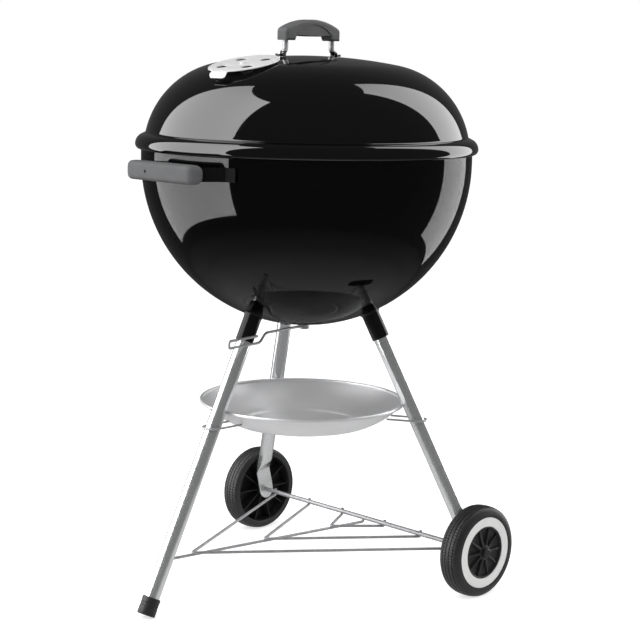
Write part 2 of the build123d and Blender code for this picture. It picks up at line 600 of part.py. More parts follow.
def wire_rack():
    """Welded wire rack: a median from the front leg and three chevrons, hooked round the axle from below."""
    hook_y = AXLE_Y + AXLE_DIAMETER / 2 + RACK_WIRE / 2 + SEAT_CLEARANCE
    lift = Vector(0, 0, RACK_HOOK)
    end = median_point(hook_y)
    rack = bent_rod([median_point(RACK_FRONT_Y), end, end + lift], RACK_WIRE, RACK_HOOK_BEND)
    for step, inset in zip(RACK_TIP_STEPS, RACK_END_INSETS):
        ends = [rack_point(side * (LEG_PLATE_X - inset), hook_y) for side in (LEFT, RIGHT)]
        points = [ends[0] + lift, ends[0], rack_point(0, RACK_FRONT_Y + step), ends[1], ends[1] + lift]
        rack += bent_rod(points, RACK_WIRE, [RACK_HOOK_BEND, RACK_TIP_BEND, RACK_HOOK_BEND])
    return rack


def strap_path():
    """Plan of a bowl handle's strap, from the bowl out to the grip and back."""
    grip_y, grip_x = -HANDLE_OFFSET, HANDLE_LENGTH / 2 - HANDLE_DEPTH / 2
    bowl_y = -sqrt((handle_bowl_radius() + STRAP_THICKNESS) ** 2 - STRAP_FOOT_X ** 2)
    lean = STRAP_FOOT * STRAP_FOOT_X / handle_bowl_radius()
    foot = (STRAP_FOOT_X + STRAP_FOOT, bowl_y + lean)
    points = [foot, (STRAP_FOOT_X, bowl_y), (grip_x, grip_y)]
    return points + [(-x, y) for x, y in reversed(points)]


def handle_bowl_radius():
    """Outside radius of the bowl at the lower edge of the strap."""
    return bowl_radius(RIM_HEIGHT - HANDLE_DROP - STRAP_HEIGHT / 2, 0)


def handle_strap(grow):
    line = Polyline(*strap_path())
    band = offset(line, STRAP_THICKNESS / 2 + grow, side=Side.BOTH)
    face = make_face(band.edges())
    tall = STRAP_HEIGHT / 2 + grow
    return Pos(0, 0, RIM_HEIGHT - HANDLE_DROP) * extrude(face, tall, both=True)


def bowl_outside():
    return turned(bowl_section(-STRAP_SEAT, bowl_rim_z()))


def handle_bracket(turn):
    return Rot(0, 0, turn) * (handle_strap(0) - bowl_outside())


def handle_grip(turn):
    """Moulded grip over the strap, with a round recess in its face."""
    place = Pos(0, -HANDLE_OFFSET, RIM_HEIGHT - HANDLE_DROP)
    grip = Box(HANDLE_LENGTH, HANDLE_DEPTH, HANDLE_TALL)
    grip = fillet(grip.edges(), HANDLE_ROUND)
    recess = Rot(90, 0, 0) * Cylinder(HANDLE_RECESS / 2, HANDLE_RECESS)
    grip -= Pos(HANDLE_RECESS_X, -HANDLE_DEPTH / 2, 0) * recess
    return Rot(0, 0, turn) * (place * grip - handle_strap(STRAP_CLEARANCE))


def pan_radius():
    """Middle of the pan's rolled rim, which fits between the three legs."""
    leg = FOOT_REACH - (PAN_HEIGHT + PAN_SHEET + PAN_RIM_ROLL) * LEG_SLOPE
    return leg - LEG_DIAMETER / 2 / cos(radians(LEG_SPLAY)) - PAN_RIM_ROLL - SEAT_CLEARANCE


def pan_side():
    """Lower and upper end and centre of the arc of the pan's side, in half section."""
    low = Vector(PAN_FLOOR_RADIUS, PAN_HEIGHT - PAN_DEPTH + PAN_FLOOR_RISE)
    high = Vector(pan_radius(), PAN_HEIGHT)
    chord = high - low
    inwards = Vector(-chord.Y, chord.X).normalized()
    return low, high, (low + high) / 2 + inwards * sqrt(PAN_SIDE_RADIUS ** 2 - chord.length ** 2 / 4)


def pan_underside(radius):
    """Height of the pan's underside at a distance from its middle, on its side."""
    centre = pan_side()[2]
    return centre.Y - sqrt(PAN_SIDE_RADIUS ** 2 - (radius - centre.X) ** 2)


def pan_profile(skin):
    """Outline of the pan's sheet from its middle to its rim, moved up by skin."""
    low, high, centre = pan_side()
    up = Vector(0, skin)
    middle = centre + ((low + high) / 2 - centre).normalized() * PAN_SIDE_RADIUS
    side = ThreePointArc(low + up, middle + up, high + up)
    floor = Vector(0, PAN_HEIGHT - PAN_DEPTH)
    between = Vector(PAN_FLOOR_RADIUS / 2, floor.Y + PAN_FLOOR_RISE / 4)
    dish = ThreePointArc(floor + up, between + up, low + up)
    return dish, side


def ash_pan():
    low, high = pan_profile(0), pan_profile(PAN_SHEET)
    ends = [Line(low[0] @ 0, high[0] @ 0), Line(low[1] @ 1, high[1] @ 1)]
    sheet = turned(make_face([*low, *high, *ends]))
    roll = turned(Pos(pan_radius(), PAN_HEIGHT + PAN_SHEET / 2) * Circle(PAN_RIM_ROLL))
    return sheet + roll


def pan_clip(azimuth):
    """Sprung wire round a leg, with both arms under the pan."""
    loop = LEG_DIAMETER / 2 / cos(radians(LEG_SPLAY)) + CLIP_WIRE / 2 + SEAT_CLEARANCE
    inner = pan_radius() - CLIP_REACH
    height = pan_underside(sqrt(inner ** 2 + (loop - CLIP_WIRE / 2) ** 2)) - CLIP_WIRE / 2 - SEAT_CLEARANCE
    outer = FOOT_REACH - height * LEG_SLOPE + loop
    outline = [(-loop, -inner), (-loop, -outer), (loop, -outer), (loop, -inner)]
    points = [(x, y, height) for x, y in outline]
    return Rot(0, 0, azimuth) * bent_rod(points, CLIP_WIRE, loop * CLIP_ROUND)


def grate_radius(height, gap):
    return bowl_radius(height, SHELL_WALL) - gap


def grate(height, gap, pitch):
    """Welded grate: a ring, a row of bars across it and two crossbars under those, of six sided wire."""
    reach = grate_radius(height, gap) - GRATE_RING_WIRE / 2
    solid = turned(Pos(reach, height) * RegularPolygon(GRATE_RING_WIRE / 2, GRATE_WIRE_SIDES))
    bar_face = RegularPolygon(GRATE_BAR_WIRE / 2, GRATE_WIRE_SIDES)
    count = int(reach / pitch)
    for i in range(-count, count + 1):
        half = sqrt(reach ** 2 - (i * pitch) ** 2)
        solid += extrude(Plane((i * pitch, 0, height), z_dir=(0, 1, 0)) * bar_face, half, both=True)
    drop = height - GRATE_BAR_WIRE * GRATE_WELD_STEP
    for y in (-reach / 2, reach / 2):
        half = sqrt(reach ** 2 - y ** 2)
        solid += extrude(Plane((0, y, drop), z_dir=(1, 0, 0)) * bar_face, half, both=True)
    return solid


def grate_handles():
    """Two wire loops that stand on the cooking grate for lifting it."""
    wide = COOKING_BAR_PITCH * 2
    place = grate_radius(COOKING_GRATE_HEIGHT, COOKING_GRATE_GAP) - GRATE_RING_WIRE - GRATE_LOOP_REACH / 2
    top = COOKING_GRATE_HEIGHT + GRATE_LOOP_REACH / 2
    loops = []
    for side in (LEFT, RIGHT):
        y = side * place
        base = COOKING_GRATE_HEIGHT + GRATE_BAR_WIRE / 2
        points = [(-wide, y, base), (-wide, y, top), (wide, y, top), (wide, y, base)]
        loops.append(bent_rod(points, GRATE_BAR_WIRE, GRATE_LOOP_REACH / 4))
    return Compound(loops)


def grate_tabs(height, gap):
    """Steel tabs welded inside the bowl that carry a grate's ring."""
    seat = height - GRATE_RING_WIRE / 2 - SEAT_CLEARANCE
    inner = grate_radius(height, gap) - 2 * GRATE_RING_WIRE
    inside = turned(bowl_section(SHELL_WALL, bowl_rim_z()))
    tabs = []
    for i in range(GRATE_TABS):
        blank = Pos(0, -inner, seat) * Box(
            TAB_WIDTH, BOWL_RADIUS - inner, TAB_SHEET, align=(Align.CENTER, Align.MAX, Align.MAX))
        tabs.append(Rot(0, 0, GRATE_TAB_START + 360 / GRATE_TABS * i) * blank & inside)
    return Compound(tabs)


def sweep_blades():
    """Three blades on one hub that follow the bowl's inside over the vents."""
    outer = BOWL_INSIDE - BLADE_GAP
    inner = outer - BLADE_SHEET
    reach = degrees(asin(BLADE_REACH / outer))
    skin = [CenterArc((0, BOWL_Z), r, -90, reach) for r in (outer, inner)]
    band = turned(make_face([*skin, Line(skin[0] @ 0, skin[1] @ 0), Line(skin[0] @ 1, skin[1] @ 1)]))
    floor = BOWL_Z - BOWL_RADIUS
    tall = sphere_drop(BLADE_REACH, BOWL_RADIUS) + CUT_DEPTH
    plan = Circle(BLADE_INNER)
    for i in range(VENTS):
        plan += sector(BLADE_INNER / 2, BLADE_REACH + SHELL_WALL, BLADE_ANGLE, LEG_SPACING * i)
    blades = band & extrude(Pos(0, 0, floor) * plan, tall)
    hole = rod((0, 0, floor), (0, 0, floor + tall), SWEEP_SHAFT + 2 * SLIP_FIT)
    return blades - hole


def sweep_shaft():
    """Shaft through the bowl's floor, with a head on the blades and a shoulder under them."""
    floor = BOWL_Z - BOWL_RADIUS
    head = floor + SHELL_WALL + BLADE_GAP + BLADE_SHEET + sphere_drop(SWEEP_COLLAR / 2, BOWL_INSIDE)
    low = floor - SEAT_CLEARANCE - SWEEP_COLLAR_LENGTH
    shaft = rod((0, 0, low), (0, 0, head), SWEEP_SHAFT)
    cap = rod((0, 0, head + SLIP_FIT), (0, 0, head + BLADE_SHEET * 2), SWEEP_COLLAR)
    return shaft + rod((0, 0, head), (0, 0, head + SLIP_FIT), SWEEP_SHAFT) + cap


def sweep_collar():
    """Collar under the bowl that carries the lever."""
    top = BOWL_Z - BOWL_RADIUS - SEAT_CLEARANCE
    low = top - SWEEP_COLLAR_LENGTH
    collar = rod((0, 0, low), (0, 0, top), SWEEP_COLLAR)
    collar -= rod((0, 0, low), (0, 0, top), SWEEP_SHAFT + 2 * SLIP_FIT)
    start = lever_points()[0]
    return collar - rod((0, 0, start.Z), start * 2 - Vector(0, 0, start.Z), LEVER_WIRE + 2 * SLIP_FIT)


def lever_points():
    """Middle line of the lever: out from the collar, a step down, a hairpin and the return strand."""
    high = BOWL_Z - BOWL_RADIUS - SEAT_CLEARANCE - SWEEP_COLLAR_LENGTH / 2
    low = high - LEVER_STEP
    beside = (SOCKET_DIAMETER + LEVER_WIRE) / 2 + LEVER_SOCKET_GAP
    azimuth = degrees(asin(beside / (FOOT_REACH - high * LEG_SLOPE)))
    outline = [
        (SWEEP_SHAFT / 2 + SLIP_FIT, high), (LEVER_BEND_RADIUS, high),
        (LEVER_BEND_RADIUS + LEVER_STEP, low), (LEVER_REACH, low),
        (LEVER_REACH, low + LEVER_LOOP), (LEVER_RETURN, low + LEVER_LOOP),
    ]
    return [around(azimuth, r, z) for r, z in outline]


def sweep_lever():
    return bent_rod(lever_points(), LEVER_WIRE, LEVER_LOOP * LEVER_ROUND)


def build():
    nodes = {
        "bowl_shell": bowl_shell(),
        "front_leg": front_leg(),
        "foot_cap": foot_cap(),
        "axle": axle(),
        "axle_caps": axle_caps(),
        "wire_rack": wire_rack(),
        "ash_pan": ash_pan(),
        "cooking_grate_tabs": grate_tabs(COOKING_GRATE_HEIGHT, COOKING_GRATE_GAP),
        "charcoal_grate_tabs": grate_tabs(CHARCOAL_GRATE_HEIGHT, CHARCOAL_GRATE_GAP),
        "lid_shell": on_lid(lid_shell()),
        "lid_handle_grip": on_lid(lid_grip()),
        "lid_handle_bolts": on_lid(lid_bolts()),
        "damper_rivet": on_lid(damper_rivet()),
        "lid_damper": on_lid(lid_damper()),
        "sweep_blades": sweep_blades(),
        "sweep_shaft": sweep_shaft(),
        "sweep_collar": sweep_collar(),
        "sweep_lever": sweep_lever(),
        "cooking_grate": grate(COOKING_GRATE_HEIGHT, COOKING_GRATE_GAP, COOKING_BAR_PITCH),
        "cooking_grate_handles": grate_handles(),
        "charcoal_grate": grate(CHARCOAL_GRATE_HEIGHT, CHARCOAL_GRATE_GAP, CHARCOAL_BAR_PITCH),
    }
    for name, azimuth in LEG_SIDES.items():
        nodes[f"{name}_leg_socket"] = leg_socket(azimuth)
        nodes[f"{name}_pan_clip"] = pan_clip(azimuth)
    for name, turn in (("front", 0), ("rear", 180)):
        nodes[f"{name}_handle_bracket"] = handle_bracket(turn)
        nodes[f"{name}_handle_grip"] = handle_grip(turn)
    for name, side in (("left", LEFT), ("right", RIGHT)):
        nodes[f"{name}_leg"] = wheel_leg(side)
        nodes[f"{name}_wheel"] = wheel_body(side)
        nodes[f"{name}_trim_ring"] = trim_ring(side)
        nodes[f"{name}_hub_cover"] = hub_cover(side)
    for name, side in (("front", LEFT), ("rear", RIGHT)):
        nodes[f"lid_handle_post_{name}"] = on_lid(lid_post(side))
    return nodes


def main():
    os.makedirs("parts", exist_ok=True)
    for name, shape in build().items():
        export_step(shape, f"parts/{name}.step")


if __name__ == "__main__":
    main()
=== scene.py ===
"""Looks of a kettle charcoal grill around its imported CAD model. Metres, in the frame of the CAD model."""
import json
from math import asin, atan2, copysign, cos, degrees, pi, radians, sin, sqrt, tan

import bmesh
import bpy
from mathutils import Matrix, Quaternion, Vector


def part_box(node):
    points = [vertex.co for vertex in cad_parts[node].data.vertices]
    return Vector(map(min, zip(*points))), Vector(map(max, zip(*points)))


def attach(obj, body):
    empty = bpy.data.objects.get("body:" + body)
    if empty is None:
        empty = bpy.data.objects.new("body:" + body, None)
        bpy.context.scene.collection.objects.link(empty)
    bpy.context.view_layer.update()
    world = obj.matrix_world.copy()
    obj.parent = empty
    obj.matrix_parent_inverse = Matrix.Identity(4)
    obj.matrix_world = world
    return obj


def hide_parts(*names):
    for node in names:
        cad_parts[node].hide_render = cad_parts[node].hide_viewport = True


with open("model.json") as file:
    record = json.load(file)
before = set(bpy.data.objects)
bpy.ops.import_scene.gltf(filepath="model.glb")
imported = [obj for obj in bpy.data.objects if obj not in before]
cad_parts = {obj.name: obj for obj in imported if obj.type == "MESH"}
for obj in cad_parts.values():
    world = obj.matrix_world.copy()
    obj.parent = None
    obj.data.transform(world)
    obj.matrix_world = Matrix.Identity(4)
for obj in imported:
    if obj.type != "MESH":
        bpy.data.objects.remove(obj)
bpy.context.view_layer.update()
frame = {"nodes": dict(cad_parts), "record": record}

# Kettle shells, as in the CAD model
RIM_Z = 0.762
WALL = 0.0015
BOWL_R = 0.282
BOWL_Z = 0.737
ROLL_R = 0.0026
ROLL_Z = 0.77413            # middle of the bowl's rolled edge
LID_TOP = 0.914
CROWN_R = 0.857
SHOULDER_R = 0.153
LID_R = 0.278
BEAD_R = 0.292
BEAD_ROUND = 0.018
NECK_ROUND = 0.004          # hollow between the lid's wall and its bead
NECK_LIFT = 0.0042
LIP_R = 0.2847              # lower edge of the bead's lip
LIP_DROP = 0.008
VENT_INNER = 0.038
VENT_OUTER = 0.092
VENT_HALF = 15.0            # degrees
SHAFT_HOLE = 0.0051
FLOOR_RADII = (SHAFT_HOLE, 0.015, 0.026, VENT_INNER, 0.049, 0.060, 0.071, 0.082, VENT_OUTER)
CROWN_Z = LID_TOP - CROWN_R
SHOULDER_X = LID_R - SHOULDER_R
SHOULDER_Z = CROWN_Z + sqrt((CROWN_R - SHOULDER_R) ** 2 - SHOULDER_X ** 2)
CROWN_JOIN = degrees(atan2(SHOULDER_Z - CROWN_Z, SHOULDER_X))
AROUND = 240                # faces round a kettle shell

# Lid damper
LID_TURN = radians(5.0)
DAMPER_R = 0.059
DAMPER_OFFSET = 0.160
DAMPER_SHEET = 0.0016
DAMPER_LIFT = 0.0003
DAMPER_HOLE = 0.0095
DAMPER_HOLE_CIRCLE = 0.036
DAMPER_HOLE_ANGLES = (50, 140, 230, 320)
DRILL_DEPTH = 0.03
DAMPER_EDGE = 0.0003        # rounding of the plate's edges
TAB_HALF = 0.017
TAB_LENGTH = 0.015
TAB_BEND = radians(34)
TAB_OVERLAP = 0.0016        # root of the tab inside the plate
TAB_TAPER = 0.004
RIVET_R = 0.003
POST_PAINT_Z = 0.921        # top of the paint on the lid handle's posts
POST_PAINT_EDGE = 0.0005

# Grips of the bowl handles
GRIP_LENGTH = 0.166
GRIP_TALL = 0.031
GRIP_SQUARE = 3.6           # power of the grip's section: 2 is an ellipse
GRIP_END_ROUND = 0.0125     # ends, seen from the front
GRIP_FACE_ROUND = 0.0130    # ends, seen from above
GRIP_BACK_ROUND = 0.0060
GRIP_RECESS_X = -0.030
GRIP_RECESS_R = 0.0025
GRIP_STEPS = 40
GRIP_AROUND = 48

# Legs, sockets and foot
LEG_SPLAY = radians(25.8)
FOOT_REACH = 0.350
LEG_R = 0.0127
SOCKET_R = 0.015
SOCKET_LENGTH = 0.048
# Pairs of a change in radius and a distance along the leg: from the bowl down, or back from the socket's end
SOCKET_WELD = ((0.0042, -0.0006), (0.0030, 0.0004), (0.0016, 0.0016), (0.0006, 0.0034), (0, 0.006))
SOCKET_MOUTH = ((0, 0.0012), (0.0004, 0.0003), (0.0011, 0))
SOCKET_BORE = ((0.0002, 0.0003), (0.0001, 0.012))
LEG_START = 0.004           # top of a tube below the bowl's sheet
FOOT_CAP_R = 0.01525
FOOT_CAP_LENGTH = 0.030
FOOT_CAP_FLOOR = 0.004      # end of the tube over the cap's end
FOOT_GROOVE_R = FOOT_CAP_R - 0.0007
# Radius of each row of the foot cap, and its distance from the cap's end
FOOT_CAP_ROWS = (
    (LEG_R + 0.0001, 0.0285), (LEG_R + 0.0012, FOOT_CAP_LENGTH), (FOOT_CAP_R - 0.0006, 0.0298),
    (FOOT_CAP_R, 0.0288), (FOOT_CAP_R, 0.0215), (FOOT_GROOVE_R, 0.0210), (FOOT_GROOVE_R, 0.0200),
    (FOOT_CAP_R, 0.0195), (FOOT_CAP_R, 0.0165), (FOOT_GROOVE_R, 0.0160), (FOOT_GROOVE_R, 0.0150),
    (FOOT_CAP_R, 0.0145), (FOOT_CAP_R, 0.0012), (FOOT_CAP_R - 0.0004, 0.0003), (FOOT_CAP_R - 0.0012, 0),
)
FOOT_CENTRE_Z = 0.00544     # middle of the foot cap's end
FLAT_START_Z = 0.150
FLAT_Z = 0.118
PLATE_X = 0.25601
PLATE_HALF_WIDTH = 0.0165
PLATE_HALF_THICK = 0.0021
PLATE_SQUARE = 6            # power of the plate's section
TIP_STEP = 7.3              # degrees between rows of the plate's round tip
TIP_HALF_WIDTH = 0.0004
LEG_AZIMUTHS = {"front": 0.0, "right": radians(120), "left": radians(-120)}

# Wheels
WHEEL_R = 0.079
WHEEL_WIDTH = 0.038
WHEEL_INNER_X = 0.2587
AXLE_Y = 0.15590
AXLE_Z = 0.079
RING_OUTER = 0.0615
RING_INNER = 0.0455
RING_SHEET = 0.0015
RING_PLAY = 0.0001
HUB_R = 0.013
BORE_R = 0.00406
WEB_Z = 0.0300              # outer face of the web
WEB_BACK_Z = 0.0260
RIM_INNER = 0.0640          # inside of the rim, behind the web
SPOKES = 10
RIB_HALF = 0.0013
RIB_LAP = 0.0005            # ribs sunk into the hub and the rim, and twice that into the web
RIB_EDGE_Z = 0.0060
RIB_TAPER = 0.6
TREAD_SINK = 0.0006
# Radius and height over the wheel's inner face, round the half section of a wheel
WHEEL_BACK = (
    (BORE_R, 0), (HUB_R - 0.001, 0), (HUB_R, 0.001), (HUB_R, WEB_BACK_Z), (RIM_INNER, WEB_BACK_Z),
    (RIM_INNER, 0.0015), (0.0650, 0.0003), (0.0735, 0.0003),
)
WHEEL_TREAD = (
    (0.0755, 0.0015), (0.0770, 0.0040), (0.0779, 0.0070), (0.0779, 0.0078), (0.0765, 0.0081),
    (0.0765, 0.0089), (0.0782, 0.0092), (0.0788, 0.0130), (0.0788, 0.0145), (0.0773, 0.0148),
    (0.0773, 0.0158), (0.0789, 0.0161), (WHEEL_R, WHEEL_WIDTH / 2), (0.0789, 0.0219), (0.0773, 0.0222),
    (0.0773, 0.0232), (0.0788, 0.0235), (0.0788, 0.0250), (0.0782, 0.0288), (0.0765, 0.0291),
    (0.0765, 0.0299), (0.0779, 0.0302), (0.0772, 0.0330), (0.0755, 0.0350),
)
WHEEL_FACE = (
    (0.0735, 0.0364), (0.0705, 0.0373), (0.0665, 0.0379), (0.0630, WHEEL_WIDTH), (RING_OUTER, 0.0378),
    (RING_OUTER, WHEEL_WIDTH - RING_SHEET), (RING_INNER, WHEEL_WIDTH - RING_SHEET), (RING_INNER, WEB_Z),
    (HUB_R, WEB_Z), (BORE_R, WEB_Z),
)
# Hub cover, on the same axes
COVER_R = RING_INNER - 0.0001
COVER_SEAT = 0.0302
COVER_BORE = BORE_R + 0.0004
COVER_ROWS = (
    (COVER_BORE, COVER_SEAT), (COVER_R, COVER_SEAT), (COVER_R, 0.0366), (COVER_R - 0.0012, 0.0370),
    (COVER_R - 0.0026, 0.0362), (COVER_R - 0.0040, 0.0322), (0.0300, 0.0314), (0.0170, 0.0316),
    (HUB_R + 0.0008, 0.0330), (HUB_R - 0.0004, 0.0372), (HUB_R - 0.0016, 0.0379), (0.0060, 0.0379),
    (COVER_BORE, 0.0372),
)
SPOKE_FOOT = 0.0308
SPOKE_CHAMFER = 0.0006
SPOKE_SHOULDER, SPOKE_CREST = 0.7, 0.3      # shares of a spoke's half width
# Radius, half width and top of a spoke
SPOKE_ROWS = (
    (HUB_R - 0.001, 0.0032, 0.0374), (0.022, 0.0027, 0.0366), (0.032, 0.0023, 0.0358),
    (COVER_R - 0.002, 0.0020, 0.0352),
)

# Ash pan
PAN_Z = 0.319
PAN_R = 0.17635
PAN_DEPTH = 0.050
PAN_SHEET = 0.0012
PAN_FLOOR_R = 0.108
PAN_FLOOR_RISE = 0.008
PAN_SIDE_R = 0.150
PAN_ROLL_R = 0.003
PAN_RIDGE_HALF = 0.006
# Points of the ridge, out from the floor's edge and up
PAN_RIDGE = ((-0.006, -0.0006), (-0.003, 0.0020), (0.0, 0.0030), (0.003, 0.0029))

# Wires of the rack, the pan clips and the sweep's lever
SEAT_GAP = 0.0003
AXLE_R = 0.004
RACK_R = 0.0025
RACK_FRONT_Z = 0.094
RACK_TIP_STEPS = (0.0545, 0.2185, 0.3815)
RACK_END_INSETS = (0.020, 0.114, 0.202)
RACK_HOOK = 0.011
RACK_WELD = 0.0035          # median below the chevrons
RACK_HOOK_BEND = 0.004
RACK_TIP_BEND = 0.008
CLIP_R = 0.00175
CLIP_REACH = 0.020
LEVER_R = 0.00225
LEVER_AZIMUTH = radians(8.0)
LEVER_Z = 0.4502
LEVER_START = 0.0051
LEVER_BEND = 0.104
LEVER_STEP = 0.015
LEVER_REACH = 0.199
LEVER_RETURN = 0.126
LEVER_LOOP = 0.012

# Grates
COOKING_Z = 0.729
COOKING_R = 0.26689
COOKING_PITCH = 0.024
CHARCOAL_Z = 0.588
CHARCOAL_R = 0.214
CHARCOAL_PITCH = 0.028
RING_WIRE = 0.003
BAR_WIRE = 0.0025
CROSSBAR_DROP = BAR_WIRE * 1.6
RING_POINTS = 96

# Camera and studio
CAMERA_PLACE = Vector((2.0641, -2.0053, 0.9241))
CAMERA_AIM = Vector((0.0303, 0.0100, 0.4631))
CAMERA_ROLL = radians(1.17)
CAMERA_LENS = 94.4
SENSOR = 36.0
WORLD_LIGHT = 0.45
LAMP_AIM = Vector((0, 0, 0.5))
# Name, place, size and power of each lamp
LAMPS = (
    ("key", (-0.6, -3.0, 2.8), 2.2, 55),
    ("fill", (3.0, 0.8, 2.2), 2.0, 30),
    ("top", (0.2, 0.3, 3.4), 2.4, 25),
)
FLOOR_HALF = 30
FLOOR_GLOW = 0.66
ROOM_R = 18
ROOM_GLOW = 0.11
CARD_DISTANCE = 4.0
CARD_STEPS = 12
# Name, both azimuths, both elevations and both strengths of each card, as seen from the kettle
CARDS = (
    ("left_soft_box", (-124.5, -52), (-31, 66), (3.9, 7.6)),
    ("right_soft_box", (105, 139), (-32, 66), (5.0, 3.2)),
)
# Radius and strength of the lit paper under the kettle
PAPER_RINGS = ((0.0, 0.9), (0.25, 0.85), (0.45, 0.6), (0.65, 0.3), (0.95, 0.15))
PAPER_AROUND = 48
PAPER_Z = 0.0005

LEFT, RIGHT = -1, 1
NOISE_LOW, NOISE_HIGH = 0.3, 0.7
BEND_SHARE = 0.48           # most of a straight run that one bend takes
BEND_STEPS = 8

RECORD = frame["record"]
BODY_OF = {node: body for body, nodes in RECORD["behaviour"]["bodies"].items() for node in nodes}
SLOT_OF = {part["node"]: part["material_slot"] for part in RECORD["subparts"]}


# Materials

def shader(name, colour, metallic=0.0, roughness=0.5):
    """New material with plain values on its shader. Returns the material, its node tree and the shader."""
    made = bpy.data.materials.new(name)
    made.use_nodes = True
    tree = made.node_tree
    surface = tree.nodes["Principled BSDF"]
    surface.inputs["Base Color"].default_value = (*colour, 1)
    surface.inputs["Metallic"].default_value = metallic
    surface.inputs["Roughness"].default_value = roughness
    return made, tree, surface


def noise(tree, scale, detail=3.0, stretch=(1, 1, 1)):
    """Noise over the object's own coordinates, in metres."""
    place = tree.nodes.new("ShaderNodeTexCoord")
    mapping = tree.nodes.new("ShaderNodeMapping")
    mapping.inputs["Scale"].default_value = stretch
    texture = tree.nodes.new("ShaderNodeTexNoise")
    texture.inputs["Scale"].default_value = scale
    texture.inputs["Detail"].default_value = detail
    tree.links.new(place.outputs["Object"], mapping.inputs["Vector"])
    tree.links.new(mapping.outputs["Vector"], texture.inputs["Vector"])
    return texture.outputs["Fac"]


def vary(tree, value, socket, low, high):
    """Drives a number on the shader between two values."""
    span = tree.nodes.new("ShaderNodeMapRange")
    span.inputs["From Min"].default_value = NOISE_LOW
    span.inputs["From Max"].default_value = NOISE_HIGH
    span.inputs["To Min"].default_value = low
    span.inputs["To Max"].default_value = high
    tree.links.new(value, span.inputs["Value"])
    tree.links.new(span.outputs["Result"], socket)


def tint(tree, value, socket, dark, light):
    """Drives a colour on the shader between two colours."""
    ramp = tree.nodes.new("ShaderNodeValToRGB")
    ramp.color_ramp.elements[0].position = NOISE_LOW
    ramp.color_ramp.elements[0].color = (*dark, 1)
    ramp.color_ramp.elements[1].position = NOISE_HIGH
    ramp.color_ramp.elements[1].color = (*light, 1)
    tree.links.new(value, ramp.inputs["Fac"])
    tree.links.new(ramp.outputs["Color"], socket)


def bump(tree, value, surface, height, strength=1.0):
    """Drives the shader's normal, with the relief's height in metres."""
    relief = tree.nodes.new("ShaderNodeBump")
    relief.inputs["Distance"].default_value = height
    relief.inputs["Strength"].default_value = strength
    tree.links.new(value, relief.inputs["Height"])
    tree.links.new(relief.outputs["Normal"], surface.inputs["Normal"])


def enamel():
    """Glossy black enamel of the kettle."""
    made, tree, surface = shader("black_enamel", (0.002, 0.002, 0.0022), roughness=0.03)
    vary(tree, noise(tree, 14), surface.inputs["Roughness"], 0.02, 0.05)
    return made


def chrome():
    """Bright plating of the tubes, with faint marks along them."""
    made, tree, surface = shader("chrome_plate", (0.62, 0.625, 0.63), metallic=0.75, roughness=0.22)
    vary(tree, noise(tree, 60, stretch=(1, 1, 0.1)), surface.inputs["Roughness"], 0.19, 0.27)
    return made


def handle_steel():
    """Satin steel of the lid handle's posts, with their feet painted black."""
    paint, steel = (0.008, 0.008, 0.008), (0.42, 0.42, 0.43)
    made, tree, surface = shader("handle_steel", steel, metallic=0.4, roughness=0.45)
    place = tree.nodes.new("ShaderNodeTexCoord")
    split = tree.nodes.new("ShaderNodeSeparateXYZ")
    edge = tree.nodes.new("ShaderNodeMapRange")
    edge.inputs["From Min"].default_value = POST_PAINT_Z - POST_PAINT_EDGE
    edge.inputs["From Max"].default_value = POST_PAINT_Z + POST_PAINT_EDGE
    tree.links.new(place.outputs["Object"], split.inputs["Vector"])
    tree.links.new(split.outputs["Z"], edge.inputs["Value"])
    tint(tree, edge.outputs["Result"], surface.inputs["Base Color"], paint, steel)
    vary(tree, noise(tree, 150), surface.inputs["Roughness"], 0.4, 0.5)
    return made


def zinc():
    """Dull plating of the wires and the axle."""
    made, tree, surface = shader("zinc_wire", (0.36, 0.36, 0.37), metallic=0.4, roughness=0.45)
    cloud = noise(tree, 120)
    tint(tree, cloud, surface.inputs["Base Color"], (0.32, 0.32, 0.33), (0.40, 0.40, 0.41))
    vary(tree, cloud, surface.inputs["Roughness"], 0.40, 0.50)
    return made


def grate_plate():
    """Bright plating of the grates."""
    made, tree, surface = shader("grate_plating", (0.66, 0.66, 0.67), metallic=1, roughness=0.22)
    vary(tree, noise(tree, 90), surface.inputs["Roughness"], 0.16, 0.30)
    return made


def spun_aluminium(name, light, dark, metallic, rough):
    """Sheet with the fine rings that a spinning lathe leaves."""
    made, tree, surface = shader(name, light, metallic=metallic, roughness=rough)
    cloud = noise(tree, 9)
    tint(tree, cloud, surface.inputs["Base Color"], dark, light)
    vary(tree, cloud, surface.inputs["Roughness"], rough * 0.9, rough * 1.12)
    place = tree.nodes.new("ShaderNodeTexCoord")
    rings = tree.nodes.new("ShaderNodeTexWave")
    rings.wave_type = "RINGS"
    rings.rings_direction = "Z"
    rings.inputs["Scale"].default_value = 260
    rings.inputs["Distortion"].default_value = 1.5
    tree.links.new(place.outputs["Object"], rings.inputs["Vector"])
    bump(tree, rings.outputs["Fac"], surface, 0.00004, 0.5)
    return made


def moulded(name, dark, light, rough, grain, gloss=0.5):
    """Moulded plastic with a fine spark texture."""
    made, tree, surface = shader(name, light, roughness=rough)
    surface.inputs["Specular IOR Level"].default_value = gloss
    tint(tree, noise(tree, 35), surface.inputs["Base Color"], dark, light)
    fine = noise(tree, 1400, detail=1)
    vary(tree, fine, surface.inputs["Roughness"], rough * 0.92, rough * 1.08)
    bump(tree, fine, surface, grain)
    return made


def painted_steel(name, rough, gloss):
    """Black paint with a slight grain."""
    made, tree, surface = shader(name, (0.006, 0.006, 0.0065), roughness=rough)
    surface.inputs["Specular IOR Level"].default_value = gloss
    cloud = noise(tree, 220)
    vary(tree, cloud, surface.inputs["Roughness"], rough * 0.87, rough * 1.13)
    bump(tree, cloud, surface, 0.00005)
    return made


